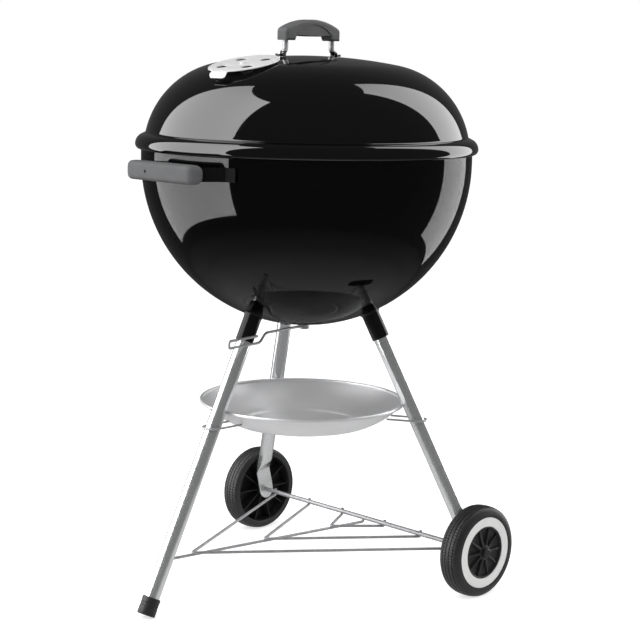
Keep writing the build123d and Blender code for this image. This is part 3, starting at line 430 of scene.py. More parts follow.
FINISH = {
    "enamel": enamel(),
    "chrome": chrome(),
    "aluminium": spun_aluminium("damper_aluminium", (0.80, 0.80, 0.80), (0.74, 0.74, 0.74), 0.3, 0.45),
    "pan_aluminium": spun_aluminium("pan_aluminium", (0.76, 0.76, 0.77), (0.68, 0.68, 0.69), 0.45, 0.42),
    "grip_plastic": moulded("grip_plastic", (0.100, 0.101, 0.104), (0.116, 0.117, 0.120), 0.55, 0.00003,
                            gloss=0.15),
    "black_plastic": moulded("black_plastic", (0.016, 0.016, 0.017), (0.024, 0.024, 0.025), 0.45, 0.00003,
                             gloss=0.3),
    "white_plastic": moulded("white_plastic", (0.82, 0.82, 0.81), (0.87, 0.87, 0.86), 0.32, 0.00001),
    "black_steel": painted_steel("black_paint", 0.55, 0.06),
    "socket_paint": painted_steel("socket_paint", 0.2, 0.14),
    "wire": zinc(),
    "grate_steel": grate_plate(),
    "handle_steel": handle_steel(),
}


# Meshes

def piece(name, shape, slot, matrix=Matrix.Identity(4), crease=32):
    """Object from a bmesh, smooth but for edges sharper than crease degrees."""
    bmesh.ops.recalc_face_normals(shape, faces=shape.faces)
    for face in shape.faces:
        face.smooth = True
    for edge in shape.edges:
        edge.smooth = len(edge.link_faces) != 2 or edge.calc_face_angle() < radians(crease)
    mesh = bpy.data.meshes.new(name)
    shape.to_mesh(mesh)
    shape.free()
    mesh.transform(matrix)
    made = bpy.data.objects.new(name, mesh)
    bpy.context.scene.collection.objects.link(made)
    made.data.materials.append(FINISH[slot])
    return made


def stand_for(made, *nodes):
    """The piece replaces CAD nodes, and rides on their body."""
    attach(made, BODY_OF[nodes[0]])
    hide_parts(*nodes)
    return made


def cut(made, tools):
    """Cuts tool objects out of a piece and deletes them."""
    for tool in tools:
        step = made.modifiers.new("cut", "BOOLEAN")
        step.object = tool
        step.operation = "DIFFERENCE"
        step.solver = "EXACT"
    view = bpy.context.evaluated_depsgraph_get()
    mesh = bpy.data.meshes.new_from_object(made.evaluated_get(view))
    made.modifiers.clear()
    made.data = mesh
    for tool in tools:
        bpy.data.objects.remove(tool)


def arc(x, z, radius, start, end, steps):
    """Points of an arc in half section, with angles in degrees from the outward direction."""
    turns = [radians(start + (end - start) * i / steps) for i in range(steps + 1)]
    return [(x + radius * cos(t), z + radius * sin(t)) for t in turns]


def lathe(shape, profile, around=AROUND, closed=False, wall=None):
    """Adds a turned surface to a bmesh and returns its rows of points.

    A point on the axis becomes a pole, closed joins the profile's ends, and wall says which faces are made.
    """
    rows = []
    for r, z in profile:
        if r < 1e-7:
            rows.append([shape.verts.new((0, 0, z))] * around)
            continue
        turns = [2 * pi * j / around for j in range(around)]
        rows.append([shape.verts.new((r * sin(t), -r * cos(t), z)) for t in turns])
    pairs = list(zip(rows, rows[1:]))
    if closed:
        pairs.append((rows[-1], rows[0]))
    for i, (low, high) in enumerate(pairs):
        for j in range(around):
            k = (j + 1) % around
            if wall and not wall(i, j):
                continue
            corners = [low[j], low[k], high[k], high[j]]
            unique = [v for n, v in enumerate(corners) if v not in corners[:n]]
            shape.faces.new(unique)
    return rows


def drill(radius, depth, slot, matrix, segments=48):
    """Round cutter along the Z of a frame."""
    shape = bmesh.new()
    bmesh.ops.create_cone(shape, cap_ends=True, segments=segments, radius1=radius, radius2=radius,
                          depth=depth)
    return piece("drill", shape, slot, matrix)


def squared(value, square):
    """Sine or cosine bent towards a squarer section: 2 keeps it round."""
    return copysign(abs(value) ** (2 / square), value)


def loft(shape, rings, capped=True):
    """Adds a skin through rings of points with equal counts, and caps its ends."""
    rows = [[shape.verts.new(p) for p in ring] for ring in rings]
    count = len(rows[0])
    for low, high in zip(rows, rows[1:]):
        for j in range(count):
            k = (j + 1) % count
            shape.faces.new([low[j], low[k], high[k], high[j]])
    if capped:
        shape.faces.new(rows[0])
        shape.faces.new(rows[-1])


def wires(name, slot, lines, radius, rings=()):
    """Curve object of round wire: straight or bent lines, and closed rings of (radius, height)."""
    curve = bpy.data.curves.new(name, "CURVE")
    curve.dimensions = "3D"
    curve.bevel_depth = radius
    curve.bevel_resolution = 4
    curve.use_fill_caps = True
    for points in lines:
        spline = curve.splines.new("POLY")
        spline.points.add(len(points) - 1)
        for dot, place in zip(spline.points, points):
            dot.co = (*place, 1)
    for r, z in rings:
        spline = curve.splines.new("POLY")
        spline.points.add(RING_POINTS - 1)
        spline.use_cyclic_u = True
        for j, dot in enumerate(spline.points):
            turn = 2 * pi * j / len(spline.points)
            dot.co = (r * cos(turn), r * sin(turn), z, 1)
    made = bpy.data.objects.new(name, curve)
    bpy.context.scene.collection.objects.link(made)
    made.data.materials.append(FINISH[slot])
    return made


def bent(points, bend):
    """Points along a line, with each inner corner rounded over a length of bend."""
    spots = [Vector(p) for p in points]
    line = [spots[0]]
    for before, corner, after in zip(spots, spots[1:], spots[2:]):
        back, on = before - corner, after - corner
        reach = min(bend, back.length * BEND_SHARE, on.length * BEND_SHARE)
        back, on = back.normalized() * reach, on.normalized() * reach
        shares = [i / BEND_STEPS for i in range(BEND_STEPS + 1)]
        line += [corner + back * (1 - share) ** 2 + on * share ** 2 for share in shares]
    return line + [spots[-1]]


def axes(origin, x_axis, z_axis):
    """Matrix of a frame with its Z along z_axis and its X near x_axis."""
    z = Vector(z_axis).normalized()
    x = Vector(x_axis)
    x = (x - z * x.dot(z)).normalized()
    y = z.cross(x)
    return Matrix.Translation(origin) @ Matrix((x, y, z)).transposed().to_4x4()


# Kettle

def kettle_bowl():
    """Bowl with three vents in its floor and a rolled edge."""
    profile = [(r, BOWL_Z - sqrt(BOWL_R ** 2 - r ** 2)) for r in FLOOR_RADII]
    start = degrees(asin(VENT_OUTER / BOWL_R)) - 90
    profile += arc(0, BOWL_Z, BOWL_R, start, 0, 34)[1:]
    profile += [(BOWL_R, BOWL_Z + (ROLL_Z - BOWL_Z) * i / 4) for i in range(1, 5)]
    vent_rows = range(FLOOR_RADII.index(VENT_INNER), FLOOR_RADII.index(VENT_OUTER))

    def wall(i, j):
        """False in the vents."""
        from_vent = (360 * (j + 0.5) / AROUND) % 120 - 60
        return i not in vent_rows or abs(from_vent) > VENT_HALF

    shape = bmesh.new()
    lathe(shape, profile, wall=wall)
    bmesh.ops.solidify(shape, geom=shape.faces[:], thickness=WALL)
    lathe(shape, arc(BOWL_R - ROLL_R + WALL / 2, ROLL_Z, ROLL_R, 0, 345, 23), closed=True)
    return stand_for(piece("kettle_bowl", shape, "enamel"), "bowl_shell")


def lid_profile():
    """Closed half section of the lid: crown, shoulder, bead with a turned-in lip, and the inside."""
    foot = RIM_Z + BEAD_ROUND
    neck = foot + NECK_ROUND - SHOULDER_Z
    wall_x = SHOULDER_X + sqrt(SHOULDER_R ** 2 - neck ** 2)
    low = degrees(asin(neck / SHOULDER_R))
    outside = arc(0, CROWN_Z, CROWN_R, 90, CROWN_JOIN, 22)
    outside += arc(SHOULDER_X, SHOULDER_Z, SHOULDER_R, CROWN_JOIN, low, 40)[1:]
    outside += arc(wall_x + NECK_ROUND, foot + NECK_LIFT, NECK_ROUND, 180, 262, 8)[1:]
    outside += arc(BEAD_R - BEAD_ROUND, RIM_Z, BEAD_ROUND, 70, 0, 14)
    lip = BEAD_R - LIP_R
    turns = [radians(15 * i) for i in range(1, 7)]
    outside += [(LIP_R + lip * cos(t), RIM_Z - LIP_DROP * sin(t)) for t in turns]
    inside = [(LIP_R - WALL, RIM_Z - LIP_DROP + WALL / 2)]
    inside += arc(BEAD_R - BEAD_ROUND, RIM_Z, BEAD_ROUND - WALL, 0, 90, 10)
    inner = SHOULDER_R - WALL
    low = degrees(asin((foot - WALL - SHOULDER_Z) / inner))
    inside += arc(SHOULDER_X, SHOULDER_Z, inner, low, CROWN_JOIN, 24)
    inside += arc(0, CROWN_Z, CROWN_R - WALL, CROWN_JOIN, 90, 14)[1:]
    return outside + inside


def damper_frame():
    """Frame on the lid at the damper's rivet, with Z along the rivet and Y up the lid's slope."""
    slope = asin((DAMPER_OFFSET - SHOULDER_X) / SHOULDER_R)
    height = SHOULDER_Z + SHOULDER_R * cos(slope)
    place = axes(Vector((0, -DAMPER_OFFSET, height)), (1, 0, 0), (0, -sin(slope), cos(slope)))
    return Matrix.Rotation(LID_TURN, 4, "Z") @ place


def damper_holes():
    """Middles of the damper's holes, in the damper's frame."""
    turns = [radians(angle) for angle in DAMPER_HOLE_ANGLES]
    return [(DAMPER_HOLE_CIRCLE * cos(t), DAMPER_HOLE_CIRCLE * sin(t)) for t in turns]


def kettle_lid():
    """Turned lid with the holes under its damper."""
    shape = bmesh.new()
    profile = lid_profile()
    profile[0] = (0, profile[0][1])
    profile[-1] = (0, profile[-1][1])
    lathe(shape, profile)
    made = piece("kettle_lid", shape, "enamel")
    places = [damper_frame() @ Matrix.Translation((x, y, 0)) for x, y in damper_holes()]
    cut(made, [drill(DAMPER_HOLE, DRILL_DEPTH, "enamel", place) for place in places])
    return stand_for(made, "lid_shell")


def damper_plate(half):
    """Mesh of the damper's round plate with its holes. Half is half the angle that the tab takes up."""
    curve = bpy.data.curves.new("damper_plate", "CURVE")
    curve.dimensions = "2D"
    curve.fill_mode = "BOTH"
    curve.extrude = DAMPER_SHEET / 2 - DAMPER_EDGE
    curve.bevel_depth = DAMPER_EDGE
    curve.bevel_resolution = 2
    rim = DAMPER_R - DAMPER_EDGE
    turns = [-pi / 2 + half + (2 * pi - 2 * half) * i / 120 for i in range(121)]
    outlines = [[(rim * cos(t), rim * sin(t)) for t in turns]]
    for x, y in damper_holes() + [(0, 0)]:
        hole = DAMPER_EDGE + (DAMPER_HOLE if x or y else RIVET_R)
        turns = [2 * pi * i / 40 for i in range(40)]
        outlines.append([(x + hole * cos(t), y + hole * sin(t)) for t in turns])
    for points in outlines:
        spline = curve.splines.new("POLY")
        spline.points.add(len(points) - 1)
        spline.use_cyclic_u = True
        for dot, (x, y) in zip(spline.points, points):
            dot.co = (x, y, 0, 1)
    source = bpy.data.objects.new("damper_plate", curve)
    bpy.context.scene.collection.objects.link(source)
    view = bpy.context.evaluated_depsgraph_get()
    plate = bpy.data.meshes.new_from_object(source.evaluated_get(view))
    bpy.data.objects.remove(source)
    return plate


def damper():
    """Round plate with holes and a finger tab bent down over the lid's shoulder."""
    half = asin(TAB_HALF / DAMPER_R)
    plate = damper_plate(half)
    shape = bmesh.new()
    shape.from_mesh(plate)
    bmesh.ops.remove_doubles(shape, verts=shape.verts[:], dist=1e-6)
    bpy.data.meshes.remove(plate)
    bmesh.ops.translate(shape, verts=shape.verts[:], vec=(0, 0, DAMPER_LIFT + DAMPER_SHEET / 2))
    chord = -DAMPER_R * cos(half)
    rings = []
    for i in range(9):
        run = TAB_LENGTH * i / 8
        bend = TAB_BEND * min(1, i / 3)
        slope = TAB_BEND * min(1, i / 6)
        narrow = TAB_HALF - TAB_TAPER * max(0, (i - 5) / 3) ** 2
        y = chord + TAB_OVERLAP - run * cos(slope)
        z = DAMPER_LIFT - run * sin(slope)
        up = Vector((0, -sin(bend), cos(bend))) * DAMPER_SHEET
        rings.append([Vector((-narrow, y, z)), Vector((narrow, y, z)),
                      Vector((narrow, y, z)) + up, Vector((-narrow, y, z)) + up])
    loft(shape, rings)
    return stand_for(piece("damper", shape, "aluminium", damper_frame()), "lid_damper")


# Bowl handles

def end_round(x, radius):
    """How far a round end takes the grip in at a distance x from its middle."""
    past = max(0, abs(x) - GRIP_LENGTH / 2 + radius)
    return radius - sqrt(max(0, radius ** 2 - past ** 2))


def bowl_grip(name, turn):
    """Moulded grip over the bracket's strap, with round ends and a small recess in its face."""
    low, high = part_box(f"{name}_handle_grip")
    depth = (high.y - low.y) / 2
    place = Matrix.Translation((low + high) / 2) @ Matrix.Rotation(turn, 4, "Z")
    turns = [2 * pi * j / GRIP_AROUND for j in range(GRIP_AROUND)]
    section = [(squared(cos(t), GRIP_SQUARE), squared(sin(t), GRIP_SQUARE)) for t in turns]
    rings = []
    for i in range(GRIP_STEPS + 1):
        x = -GRIP_LENGTH / 2 * cos(pi * i / GRIP_STEPS)
        tall = GRIP_TALL / 2 - end_round(x, GRIP_END_ROUND)
        front = depth - end_round(x, GRIP_FACE_ROUND)
        back = depth - end_round(x, GRIP_BACK_ROUND)
        middle, half = (back - front) / 2, (back + front) / 2
        rings.append([Vector((x, middle + half * y, tall * z)) for y, z in section])
    shape = bmesh.new()
    loft(shape, rings)
    made = piece(f"{name}_bowl_grip", shape, "grip_plastic", place)
    across = Matrix.Translation((GRIP_RECESS_X, -depth, 0)) @ Matrix.Rotation(pi / 2, 4, "X")
    cut(made, [drill(GRIP_RECESS_R, 2 * GRIP_RECESS_R, "grip_plastic", place @ across, segments=32)])
    made.data.set_sharp_from_angle(angle=radians(40))
    return stand_for(made, f"{name}_handle_grip")


# Stand

def leg_point(azimuth, height):
    """Point on a leg's axis at a height."""
    reach = FOOT_REACH - height * tan(LEG_SPLAY)
    return Vector((reach * sin(azimuth), -reach * cos(azimuth), height))


def leg_down(azimuth):
    """Direction down a leg."""
    return (leg_point(azimuth, 0) - leg_point(azimuth, 1)).normalized()


def bowl_entry(azimuth, aside=Vector((0, 0, 0))):
    """Point where a line along a leg, moved aside from its axis, meets the outside of the bowl."""
    down = leg_down(azimuth)
    start = leg_point(azimuth, 0) + aside - Vector((0, 0, BOWL_Z))
    along = start.dot(down)
    gap = start.dot(start) - along ** 2
    return leg_point(azimuth, 0) + aside - down * (along - sqrt(BOWL_R ** 2 - gap))


def leg_ring(azimuth, radius, steps=48):
    """Offsets of a ring round a leg's axis."""
    place = axes(Vector((0, 0, 0)), (cos(azimuth), sin(azimuth), 0), leg_down(azimuth)).to_3x3()
    turns = [2 * pi * j / steps for j in range(steps)]
    return [place @ Vector((radius * cos(t), radius * sin(t), 0)) for t in turns]


def leg_socket(name, azimuth):
    """Tube welded to the bowl, with a fillet of weld at its root and a rounded mouth."""
    down = leg_down(azimuth)
    end = bowl_entry(azimuth) + down * SOCKET_LENGTH
    rings = []
    for grow, drop in SOCKET_WELD:
        ring = leg_ring(azimuth, SOCKET_R + grow)
        rings.append([bowl_entry(azimuth, aside) + down * drop for aside in ring])
    for shrink, back in SOCKET_MOUTH:
        rings.append([end - down * back + aside for aside in leg_ring(azimuth, SOCKET_R - shrink)])
    for play, back in SOCKET_BORE:
        rings.append([end - down * back + aside for aside in leg_ring(azimuth, LEG_R + play)])
    shape = bmesh.new()
    loft(shape, rings, capped=False)
    return stand_for(piece(f"{name}_socket", shape, "socket_paint", crease=50), f"{name}_leg_socket")


def foot_leg():
    """Straight tube from the bowl to the foot cap."""
    down = leg_down(0)
    top = bowl_entry(0) + down * LEG_START
    end = leg_point(0, FOOT_CENTRE_Z) - down * FOOT_CAP_FLOOR
    rings = [[top + (end - top) * i / 12 + aside for aside in leg_ring(0, LEG_R, 64)] for i in range(13)]
    shape = bmesh.new()
    loft(shape, rings)
    return stand_for(piece("foot_leg", shape, "chrome"), "front_leg")


def foot_cap():
    """Moulded cap with two grip rings, worn flat where it stands."""
    down = leg_down(0)
    end = leg_point(0, FOOT_CENTRE_Z)
    rings = []
    for radius, back in FOOT_CAP_ROWS:
        points = [end - down * back + aside for aside in leg_ring(0, radius)]
        rings.append([Vector((p.x, p.y, max(p.z, 0))) for p in points])
    shape = bmesh.new()
    loft(shape, rings)
    return stand_for(piece("foot_cap_moulding", shape, "black_plastic"), "foot_cap")


def wheel_leg(name, side):
    """Round tube pressed flat at its lower end, with a rounded tip below the axle."""
    azimuth = LEG_AZIMUTHS[name]
    down = leg_down(azimuth)
    top = bowl_entry(azimuth) + down * LEG_START
    press = leg_point(azimuth, FLAT_START_Z)
    across = Vector((1, 0, 0))
    flat_top = Vector((side * PLATE_X, leg_point(azimuth, FLAT_Z).y, FLAT_Z))
    axle = Vector((side * PLATE_X, AXLE_Y, AXLE_Z))
    plate_down = (axle - flat_top).normalized()
    steps = 64
    turns = [2 * pi * j / steps for j in range(steps)]

    def section(centre, along, thick, wide, square):
        """Ring across the leg, flat on the wheel's side as square grows."""
        x = (across - along * across.dot(along)).normalized()
        y = along.cross(x)
        ring = [(squared(cos(t), square), squared(sin(t), square)) for t in turns]
        return [centre + x * thick * a + y * wide * b for a, b in ring]

    rings = [section(top.lerp(press, i / 10), down, LEG_R, LEG_R, 2) for i in range(11)]
    for i in range(1, 13):
        ease = (1 - cos(pi * i / 12)) / 2
        centre = press.lerp(flat_top, i / 12)
        along = down.lerp(plate_down, ease).normalized()
        thick = LEG_R + (PLATE_HALF_THICK - LEG_R) * ease
        wide = LEG_R + (PLATE_HALF_WIDTH - LEG_R) * ease
        rings.append(section(centre, along, thick, wide, 2 + 3 * ease))
    middle = flat_top.lerp(axle, 0.5)
    rings.append(section(middle, plate_down, PLATE_HALF_THICK, PLATE_HALF_WIDTH, PLATE_SQUARE))
    for i in range(13):
        tip = radians(TIP_STEP * i)
        centre = axle + plate_down * PLATE_HALF_WIDTH * sin(tip)
        wide = max(PLATE_HALF_WIDTH * cos(tip), TIP_HALF_WIDTH)
        rings.append(section(centre, plate_down, PLATE_HALF_THICK, wide, PLATE_SQUARE))
    shape = bmesh.new()
    loft(shape, rings)
    return stand_for(piece(f"{name}_wheel_leg", shape, "chrome", crease=40), f"{name}_leg")


def ash_pan():
    """Dished pan with a raised ring round its floor and a rolled rim."""
    low = Vector((PAN_FLOOR_R, PAN_Z - PAN_DEPTH + PAN_FLOOR_RISE))
    high = Vector((PAN_R, PAN_Z))
    chord = high - low
    middle = (low + high) / 2
    inwards = Vector((-chord.y, chord.x)).normalized()
    centre = middle + inwards * sqrt(PAN_SIDE_R ** 2 - chord.length ** 2 / 4)
    start, end = (degrees(atan2((p - centre).y, (p - centre).x)) for p in (low, high))
    bottom = PAN_Z - PAN_DEPTH
    floor = [(PAN_FLOOR_R * i / 12, bottom + PAN_FLOOR_RISE * (i / 12) ** 2) for i in range(12)]
    ridge = [(PAN_FLOOR_R + out, low.y + up) for out, up in PAN_RIDGE]
    side = arc(centre.x, centre.y, PAN_SIDE_R, start, end, 14)
    side = [(r, z) for r, z in side if r > PAN_FLOOR_R + PAN_RIDGE_HALF]
    skin = floor + ridge + side
    top = [(r, z + PAN_SHEET) for r, z in reversed(skin)]
    shape = bmesh.new()
    lathe(shape, skin + top, around=160)
    lathe(shape, arc(PAN_R, PAN_Z + PAN_SHEET / 2, PAN_ROLL_R, 0, 345, 23), around=160, closed=True)
    return stand_for(piece("ash_pan_sheet", shape, "pan_aluminium", crease=25), "ash_pan")


def rack_point(x, y, drop=0.0):
    """Point of the rack's plane, which slants from the front leg to just under the axle."""
    front_y = leg_point(0, RACK_FRONT_Z).y
    back_z = AXLE_Z - AXLE_R - RACK_R - SEAT_GAP
    slope = (RACK_FRONT_Z - back_z) / (AXLE_Y - front_y)
    return Vector((x, y, back_z + slope * (AXLE_Y - y) - drop))


def wire_rack():
    """Median wire and three chevrons, hooked round the axle from below."""
    front_y = leg_point(0, RACK_FRONT_Z).y
    hook_y = AXLE_Y + AXLE_R + RACK_R + SEAT_GAP
    lift = Vector((0, 0, RACK_HOOK))
    end = rack_point(0, hook_y, RACK_WELD)
    lines = [bent([rack_point(0, front_y, RACK_WELD), end, end + lift], RACK_HOOK_BEND)]
    for step, inset in zip(RACK_TIP_STEPS, RACK_END_INSETS):
        left, right = (rack_point(side * (PLATE_X - inset), hook_y) for side in (LEFT, RIGHT))
        tip = rack_point(0, front_y + step)
        lines.append(bent([left + lift, left, tip, right, right + lift], RACK_TIP_BEND))
    return stand_for(wires("rack_wires", "wire", lines, RACK_R), "wire_rack")


def pan_clip(name, azimuth):
    """Sprung wire round a leg, with both arms under the pan."""
    low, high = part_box(f"{name}_pan_clip")
    height = (low[2] + high[2]) / 2
    loop = LEG_R / cos(LEG_SPLAY) + CLIP_R + SEAT_GAP
    inner = PAN_R - CLIP_REACH
    outer = FOOT_REACH - height * tan(LEG_SPLAY) + loop
    turn = Matrix.Rotation(azimuth, 3, "Z")
    corners = [(-loop, -inner), (-loop, -outer), (loop, -outer), (loop, -inner)]
    line = bent([turn @ Vector((x, y, height)) for x, y in corners], loop)
    return stand_for(wires(f"{name}_clip_wire", "wire", [line], CLIP_R), f"{name}_pan_clip")


def sweep_lever():
    """Lever from the collar, with a step down, a hairpin and the return strand."""
    low = LEVER_Z - LEVER_STEP
    outline = [(LEVER_START, LEVER_Z), (LEVER_BEND, LEVER_Z), (LEVER_BEND + LEVER_STEP, low),
               (LEVER_REACH, low), (LEVER_REACH, low + LEVER_LOOP), (LEVER_RETURN, low + LEVER_LOOP)]
    points = [Vector((r * sin(LEVER_AZIMUTH), -r * cos(LEVER_AZIMUTH), z)) for r, z in outline]
    return stand_for(wires("lever_wire", "wire", [bent(points, LEVER_LOOP / 2)], LEVER_R), "sweep_lever")


def axle_rod():
    """Straight rod between the wheels' caps."""
    low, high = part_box("axle")
    ends = [(x, AXLE_Y, AXLE_Z) for x in (low[0], high[0])]
    return stand_for(wires("axle_rod", "wire", [ends], AXLE_R), "axle")


# Grates

def grate(node, radius, pitch, height):
    """Ring, bars and two crossbars of round wire, in two curves on one body."""
    reach = radius - RING_WIRE
    count = int(reach / pitch)
    bars = []
    for i in range(-count, count + 1):
        half = sqrt(reach ** 2 - (i * pitch) ** 2)
        bars.append([(i * pitch, -half, height), (i * pitch, half, height)])
    for y in (-reach / 2, reach / 2):
        half = sqrt(reach ** 2 - y ** 2)
        bars.append([(-half, y, height - CROSSBAR_DROP), (half, y, height - CROSSBAR_DROP)])
    stand_for(wires(f"{node}_bars", "grate_steel", bars, BAR_WIRE), node)
    ring = wires(f"{node}_ring", "grate_steel", [], RING_WIRE, rings=[(reach, height)])
    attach(ring, BODY_OF[node])


# Wheels

def wheel_frame(side):
    """Frame at the middle of a wheel's inner face, with Z outwards along the axle."""
    return axes(Vector((side * WHEEL_INNER_X, AXLE_Y, AXLE_Z)), (0, 1, 0), (side, 0, 0))


def tyre(name, side):
    """Moulded wheel: ribbed tread, round shoulders, seat for the ring, and ribs behind the web."""
    shape = bmesh.new()
    rows = lathe(shape, WHEEL_BACK + WHEEL_TREAD + WHEEL_FACE, around=360, closed=True)
    for row, (_, height) in zip(rows[len(WHEEL_BACK):], WHEEL_TREAD):
        stagger = 2 if height > WHEEL_WIDTH / 2 else 0
        for j, vert in enumerate(row):
            if (j + stagger) % 4 < 1:
                radius = sqrt(vert.co.x ** 2 + vert.co.y ** 2)
                sink = (radius - TREAD_SINK) / radius
                vert.co.x *= sink
                vert.co.y *= sink
    inner, outer, root = HUB_R - RIB_LAP, RIM_INNER + RIB_LAP, WEB_BACK_Z + 2 * RIB_LAP
    corners = ((inner, -RIB_HALF), (outer, -RIB_HALF), (outer, RIB_HALF), (inner, RIB_HALF))
    rib = [Vector((x, y, root)) for x, y in corners]
    edge = [Vector((x, y * RIB_TAPER, RIB_EDGE_Z)) for x, y in corners]
    for i in range(SPOKES):
        turn = Matrix.Rotation(2 * pi * i / SPOKES, 4, "Z")
        loft(shape, [[turn @ p for p in rib], [turn @ p for p in edge]])
    made = piece(f"{name}_tyre", shape, "black_plastic", wheel_frame(side), crease=28)
    return stand_for(made, f"{name}_wheel")


def trim_ring(name, side):
    """White ring let into the wheel's face, with rounded edges."""
    back = WHEEL_WIDTH - RING_SHEET
    inner, outer = RING_INNER + RING_PLAY, RING_OUTER - RING_PLAY
    profile = [(inner, back), (inner, back + 0.0009), (inner + 0.0005, back + 0.0013),
               (0.0500, back + 0.0014), (0.0570, back + 0.0014), (outer - 0.0006, back + 0.0013),
               (outer, back + 0.0009), (outer, back)]
    shape = bmesh.new()
    lathe(shape, profile, around=128, closed=True)
    return stand_for(piece(f"{name}_ring", shape, "white_plastic", wheel_frame(side)), f"{name}_trim_ring")


def hub(name, side):
    """Dished cover with tapered spokes and a raised boss."""
    shape = bmesh.new()
    lathe(shape, COVER_ROWS, around=120, closed=True)
    for i in range(SPOKES):
        turn = Matrix.Rotation(2 * pi * i / SPOKES, 4, "Z")
        rings = []
        for r, half, top in SPOKE_ROWS:
            shoulder = top - SPOKE_CHAMFER
            wide, narrow = half * SPOKE_SHOULDER, half * SPOKE_CREST
            section = ((-half, SPOKE_FOOT), (half, SPOKE_FOOT), (wide, shoulder), (narrow, top),
                       (-narrow, top), (-wide, shoulder))
            rings.append([turn @ Vector((r, y, z)) for y, z in section])
        loft(shape, rings)
    made = piece(f"{name}_hub", shape, "black_plastic", wheel_frame(side))
    return stand_for(made, f"{name}_hub_cover")


# Studio

def camera():
    """Camera fitted to the object's outline."""
    lens = bpy.data.cameras.new("camera")
    lens.lens = CAMERA_LENS
    lens.sensor_width = SENSOR
    lens.clip_start, lens.clip_end = 0.05, 100
    made = bpy.data.objects.new("camera", lens)
    bpy.context.scene.collection.objects.link(made)
    made.location = CAMERA_PLACE
    made.rotation_mode = "QUATERNION"
    aim = (CAMERA_AIM - CAMERA_PLACE).to_track_quat("-Z", "Y")
    made.rotation_quaternion = aim @ Quaternion((0, 0, 1), CAMERA_ROLL)
    bpy.context.scene.camera = made


def glowing(name, points, faces, strengths):
    """Glowing sheet that only reflections see, with a strength at each point."""
    mesh = bpy.data.meshes.new(name)
    mesh.from_pydata([tuple(p) for p in points], [], faces)
    glow = mesh.attributes.new("glow", "FLOAT", "POINT")
    for value, strength in zip(glow.data, strengths):
        value.value = strength
    made = bpy.data.objects.new(name, mesh)
    bpy.context.scene.collection.objects.link(made)
    finish = bpy.data.materials.new(name)
    finish.use_nodes = True
    tree = finish.node_tree
    tree.nodes.clear()
    light = tree.nodes.new("ShaderNodeEmission")
    level = tree.nodes.new("ShaderNodeAttribute")
    level.attribute_name = "glow"
    tree.links.new(level.outputs["Fac"], light.inputs["Strength"])
    out = tree.nodes.new("ShaderNodeOutputMaterial")
    tree.links.new(light.outputs["Emission"], out.inputs["Surface"])
    mesh.materials.append(finish)
    only_reflections(made)


def only_reflections(made):
    """Hides an object from everything but glossy rays."""
    made.visible_camera = False
    made.visible_diffuse = False
    made.visible_shadow = False
    made.visible_transmission = False
    made.visible_volume_scatter = False


def seen_from_kettle(azimuth, elevation, distance):
    """Point in a direction from the kettle's middle.

    Azimuth 0 is towards the camera, and it turns to the image's right.
    """
    towards = Vector((CAMERA_PLACE.x, CAMERA_PLACE.y, 0)).normalized()
    right = Vector((-towards.y, towards.x, 0))
    a, e = radians(azimuth), radians(elevation)
    flat = towards * cos(a) + right * sin(a)
    return Vector((0, 0, BOWL_Z)) + flat * distance + Vector((0, 0, distance * tan(e)))


def soft_box(name, azimuths, elevations, levels):
    """Upright curved card between two azimuths, as seen from the kettle, with a strength at each side."""
    points, strengths = [], []
    for i in range(CARD_STEPS + 1):
        along = i / CARD_STEPS
        azimuth = azimuths[0] + (azimuths[1] - azimuths[0]) * along
        points += [seen_from_kettle(azimuth, elevation, CARD_DISTANCE) for elevation in elevations]
        strengths += [levels[0] + (levels[1] - levels[0]) * along] * 2
    faces = [(2 * i, 2 * i + 2, 2 * i + 3, 2 * i + 1) for i in range(CARD_STEPS)]
    glowing(name, points, faces, strengths)


def shown_as(tree, socket, seen, unseen):
    """Drives a strength: seen by the camera, gloss or glass, or unseen for the light that it gives."""
    path = tree.nodes.new("ShaderNodeLightPath")
    direct = path.outputs["Is Camera Ray"]
    for other in ("Is Glossy Ray", "Is Transmission Ray"):
        either = tree.nodes.new("ShaderNodeMath")
        either.operation = "MAXIMUM"
        tree.links.new(direct, either.inputs[0])
        tree.links.new(path.outputs[other], either.inputs[1])
        direct = either.outputs["Value"]
    level = tree.nodes.new("ShaderNodeMapRange")
    level.inputs["To Min"].default_value = unseen
    level.inputs["To Max"].default_value = seen
    tree.links.new(direct, level.inputs["Value"])
    tree.links.new(level.outputs["Result"], socket)


def white_world():
    """White backdrop, and even light from all sides."""
    scene = bpy.context.scene
    scene.view_settings.view_transform = "Standard"
    world = bpy.data.worlds.new("studio")
    scene.world = world
    world.use_nodes = True
    tree = world.node_tree
    back = tree.nodes["Background"]
    back.inputs["Color"].default_value = (1, 1, 1, 1)
    shown_as(tree, back.inputs["Strength"], 1.0, WORLD_LIGHT)


def soft_lamps():
    """Square lamps that light the object and don't show in its gloss."""
    for name, place, size, power in LAMPS:
        lamp = bpy.data.lights.new(name, "AREA")
        lamp.size = size
        lamp.energy = power
        made = bpy.data.objects.new(name, lamp)
        bpy.context.scene.collection.objects.link(made)
        made.location = place
        made.rotation_mode = "QUATERNION"
        made.rotation_quaternion = (LAMP_AIM - Vector(place)).to_track_quat("-Z", "Y")
        made.visible_glossy = False


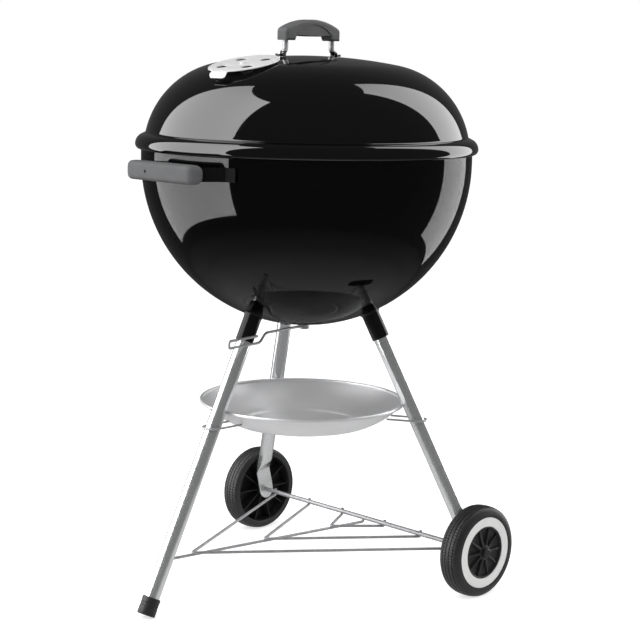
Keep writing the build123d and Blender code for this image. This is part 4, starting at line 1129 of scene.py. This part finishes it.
def white_floor():
    """Plain paper floor that keeps the object's shadow."""
    corners = [(x * FLOOR_HALF, y * FLOOR_HALF, 0) for x, y in ((-1, -1), (1, -1), (1, 1), (-1, 1))]
    mesh = bpy.data.meshes.new("floor")
    mesh.from_pydata(corners, [], [(0, 1, 2, 3)])
    floor = bpy.data.objects.new("floor", mesh)
    bpy.context.scene.collection.objects.link(floor)
    paper, tree, surface = shader("white_paper", (0.86, 0.86, 0.86), roughness=0.9)
    surface.inputs["Specular IOR Level"].default_value = 0
    surface.inputs["Emission Color"].default_value = (1, 1, 1, 1)
    shown_as(tree, surface.inputs["Emission Strength"], FLOOR_GLOW, 0.0)
    floor.data.materials.append(paper)
    floor.visible_glossy = False


def lit_paper():
    """Glow of the floor under the kettle, for its gloss, which fades outwards."""
    turns = [2 * pi * j / PAPER_AROUND for j in range(PAPER_AROUND)]
    points = [(r * cos(t), r * sin(t), PAPER_Z) for r, _ in PAPER_RINGS for t in turns]
    faces = []
    for i in range(len(PAPER_RINGS) - 1):
        inner, outer = PAPER_AROUND * i, PAPER_AROUND * (i + 1)
        for j in range(PAPER_AROUND):
            k = (j + 1) % PAPER_AROUND
            faces.append((inner + j, inner + k, outer + k, outer + j))
    glowing("lit_paper", points, faces, [level for _, level in PAPER_RINGS for _ in turns])


def dark_room():
    """Dim room around the studio, which the gloss shows between the cards."""
    room = bmesh.new()
    bmesh.ops.create_icosphere(room, subdivisions=3, radius=ROOM_R)
    spots = [v.co.copy() for v in room.verts]
    glowing("dark_room", spots, [[v.index for v in f.verts] for f in room.faces], [ROOM_GLOW] * len(spots))
    room.free()


for node, shown in frame["nodes"].items():
    post = node.startswith("lid_handle_post")
    shown.data.materials.clear()
    shown.data.materials.append(FINISH["handle_steel" if post else SLOT_OF[node]])

kettle_bowl()
kettle_lid()
damper()
bowl_grip("front", 0)
bowl_grip("rear", pi)
for leg, azimuth in LEG_AZIMUTHS.items():
    leg_socket(leg, azimuth)
foot_leg()
foot_cap()
ash_pan()
wire_rack()
axle_rod()
sweep_lever()
for leg, azimuth in LEG_AZIMUTHS.items():
    pan_clip(leg, azimuth)
grate("cooking_grate", COOKING_R, COOKING_PITCH, COOKING_Z)
grate("charcoal_grate", CHARCOAL_R, CHARCOAL_PITCH, CHARCOAL_Z)
for name, side in (("left", LEFT), ("right", RIGHT)):
    wheel_leg(name, side)
    tyre(name, side)
    trim_ring(name, side)
    hub(name, side)
camera()
white_world()
soft_lamps()
white_floor()
for name, azimuths, elevations, levels in CARDS:
    soft_box(name, azimuths, elevations, levels)
lit_paper()
dark_room()
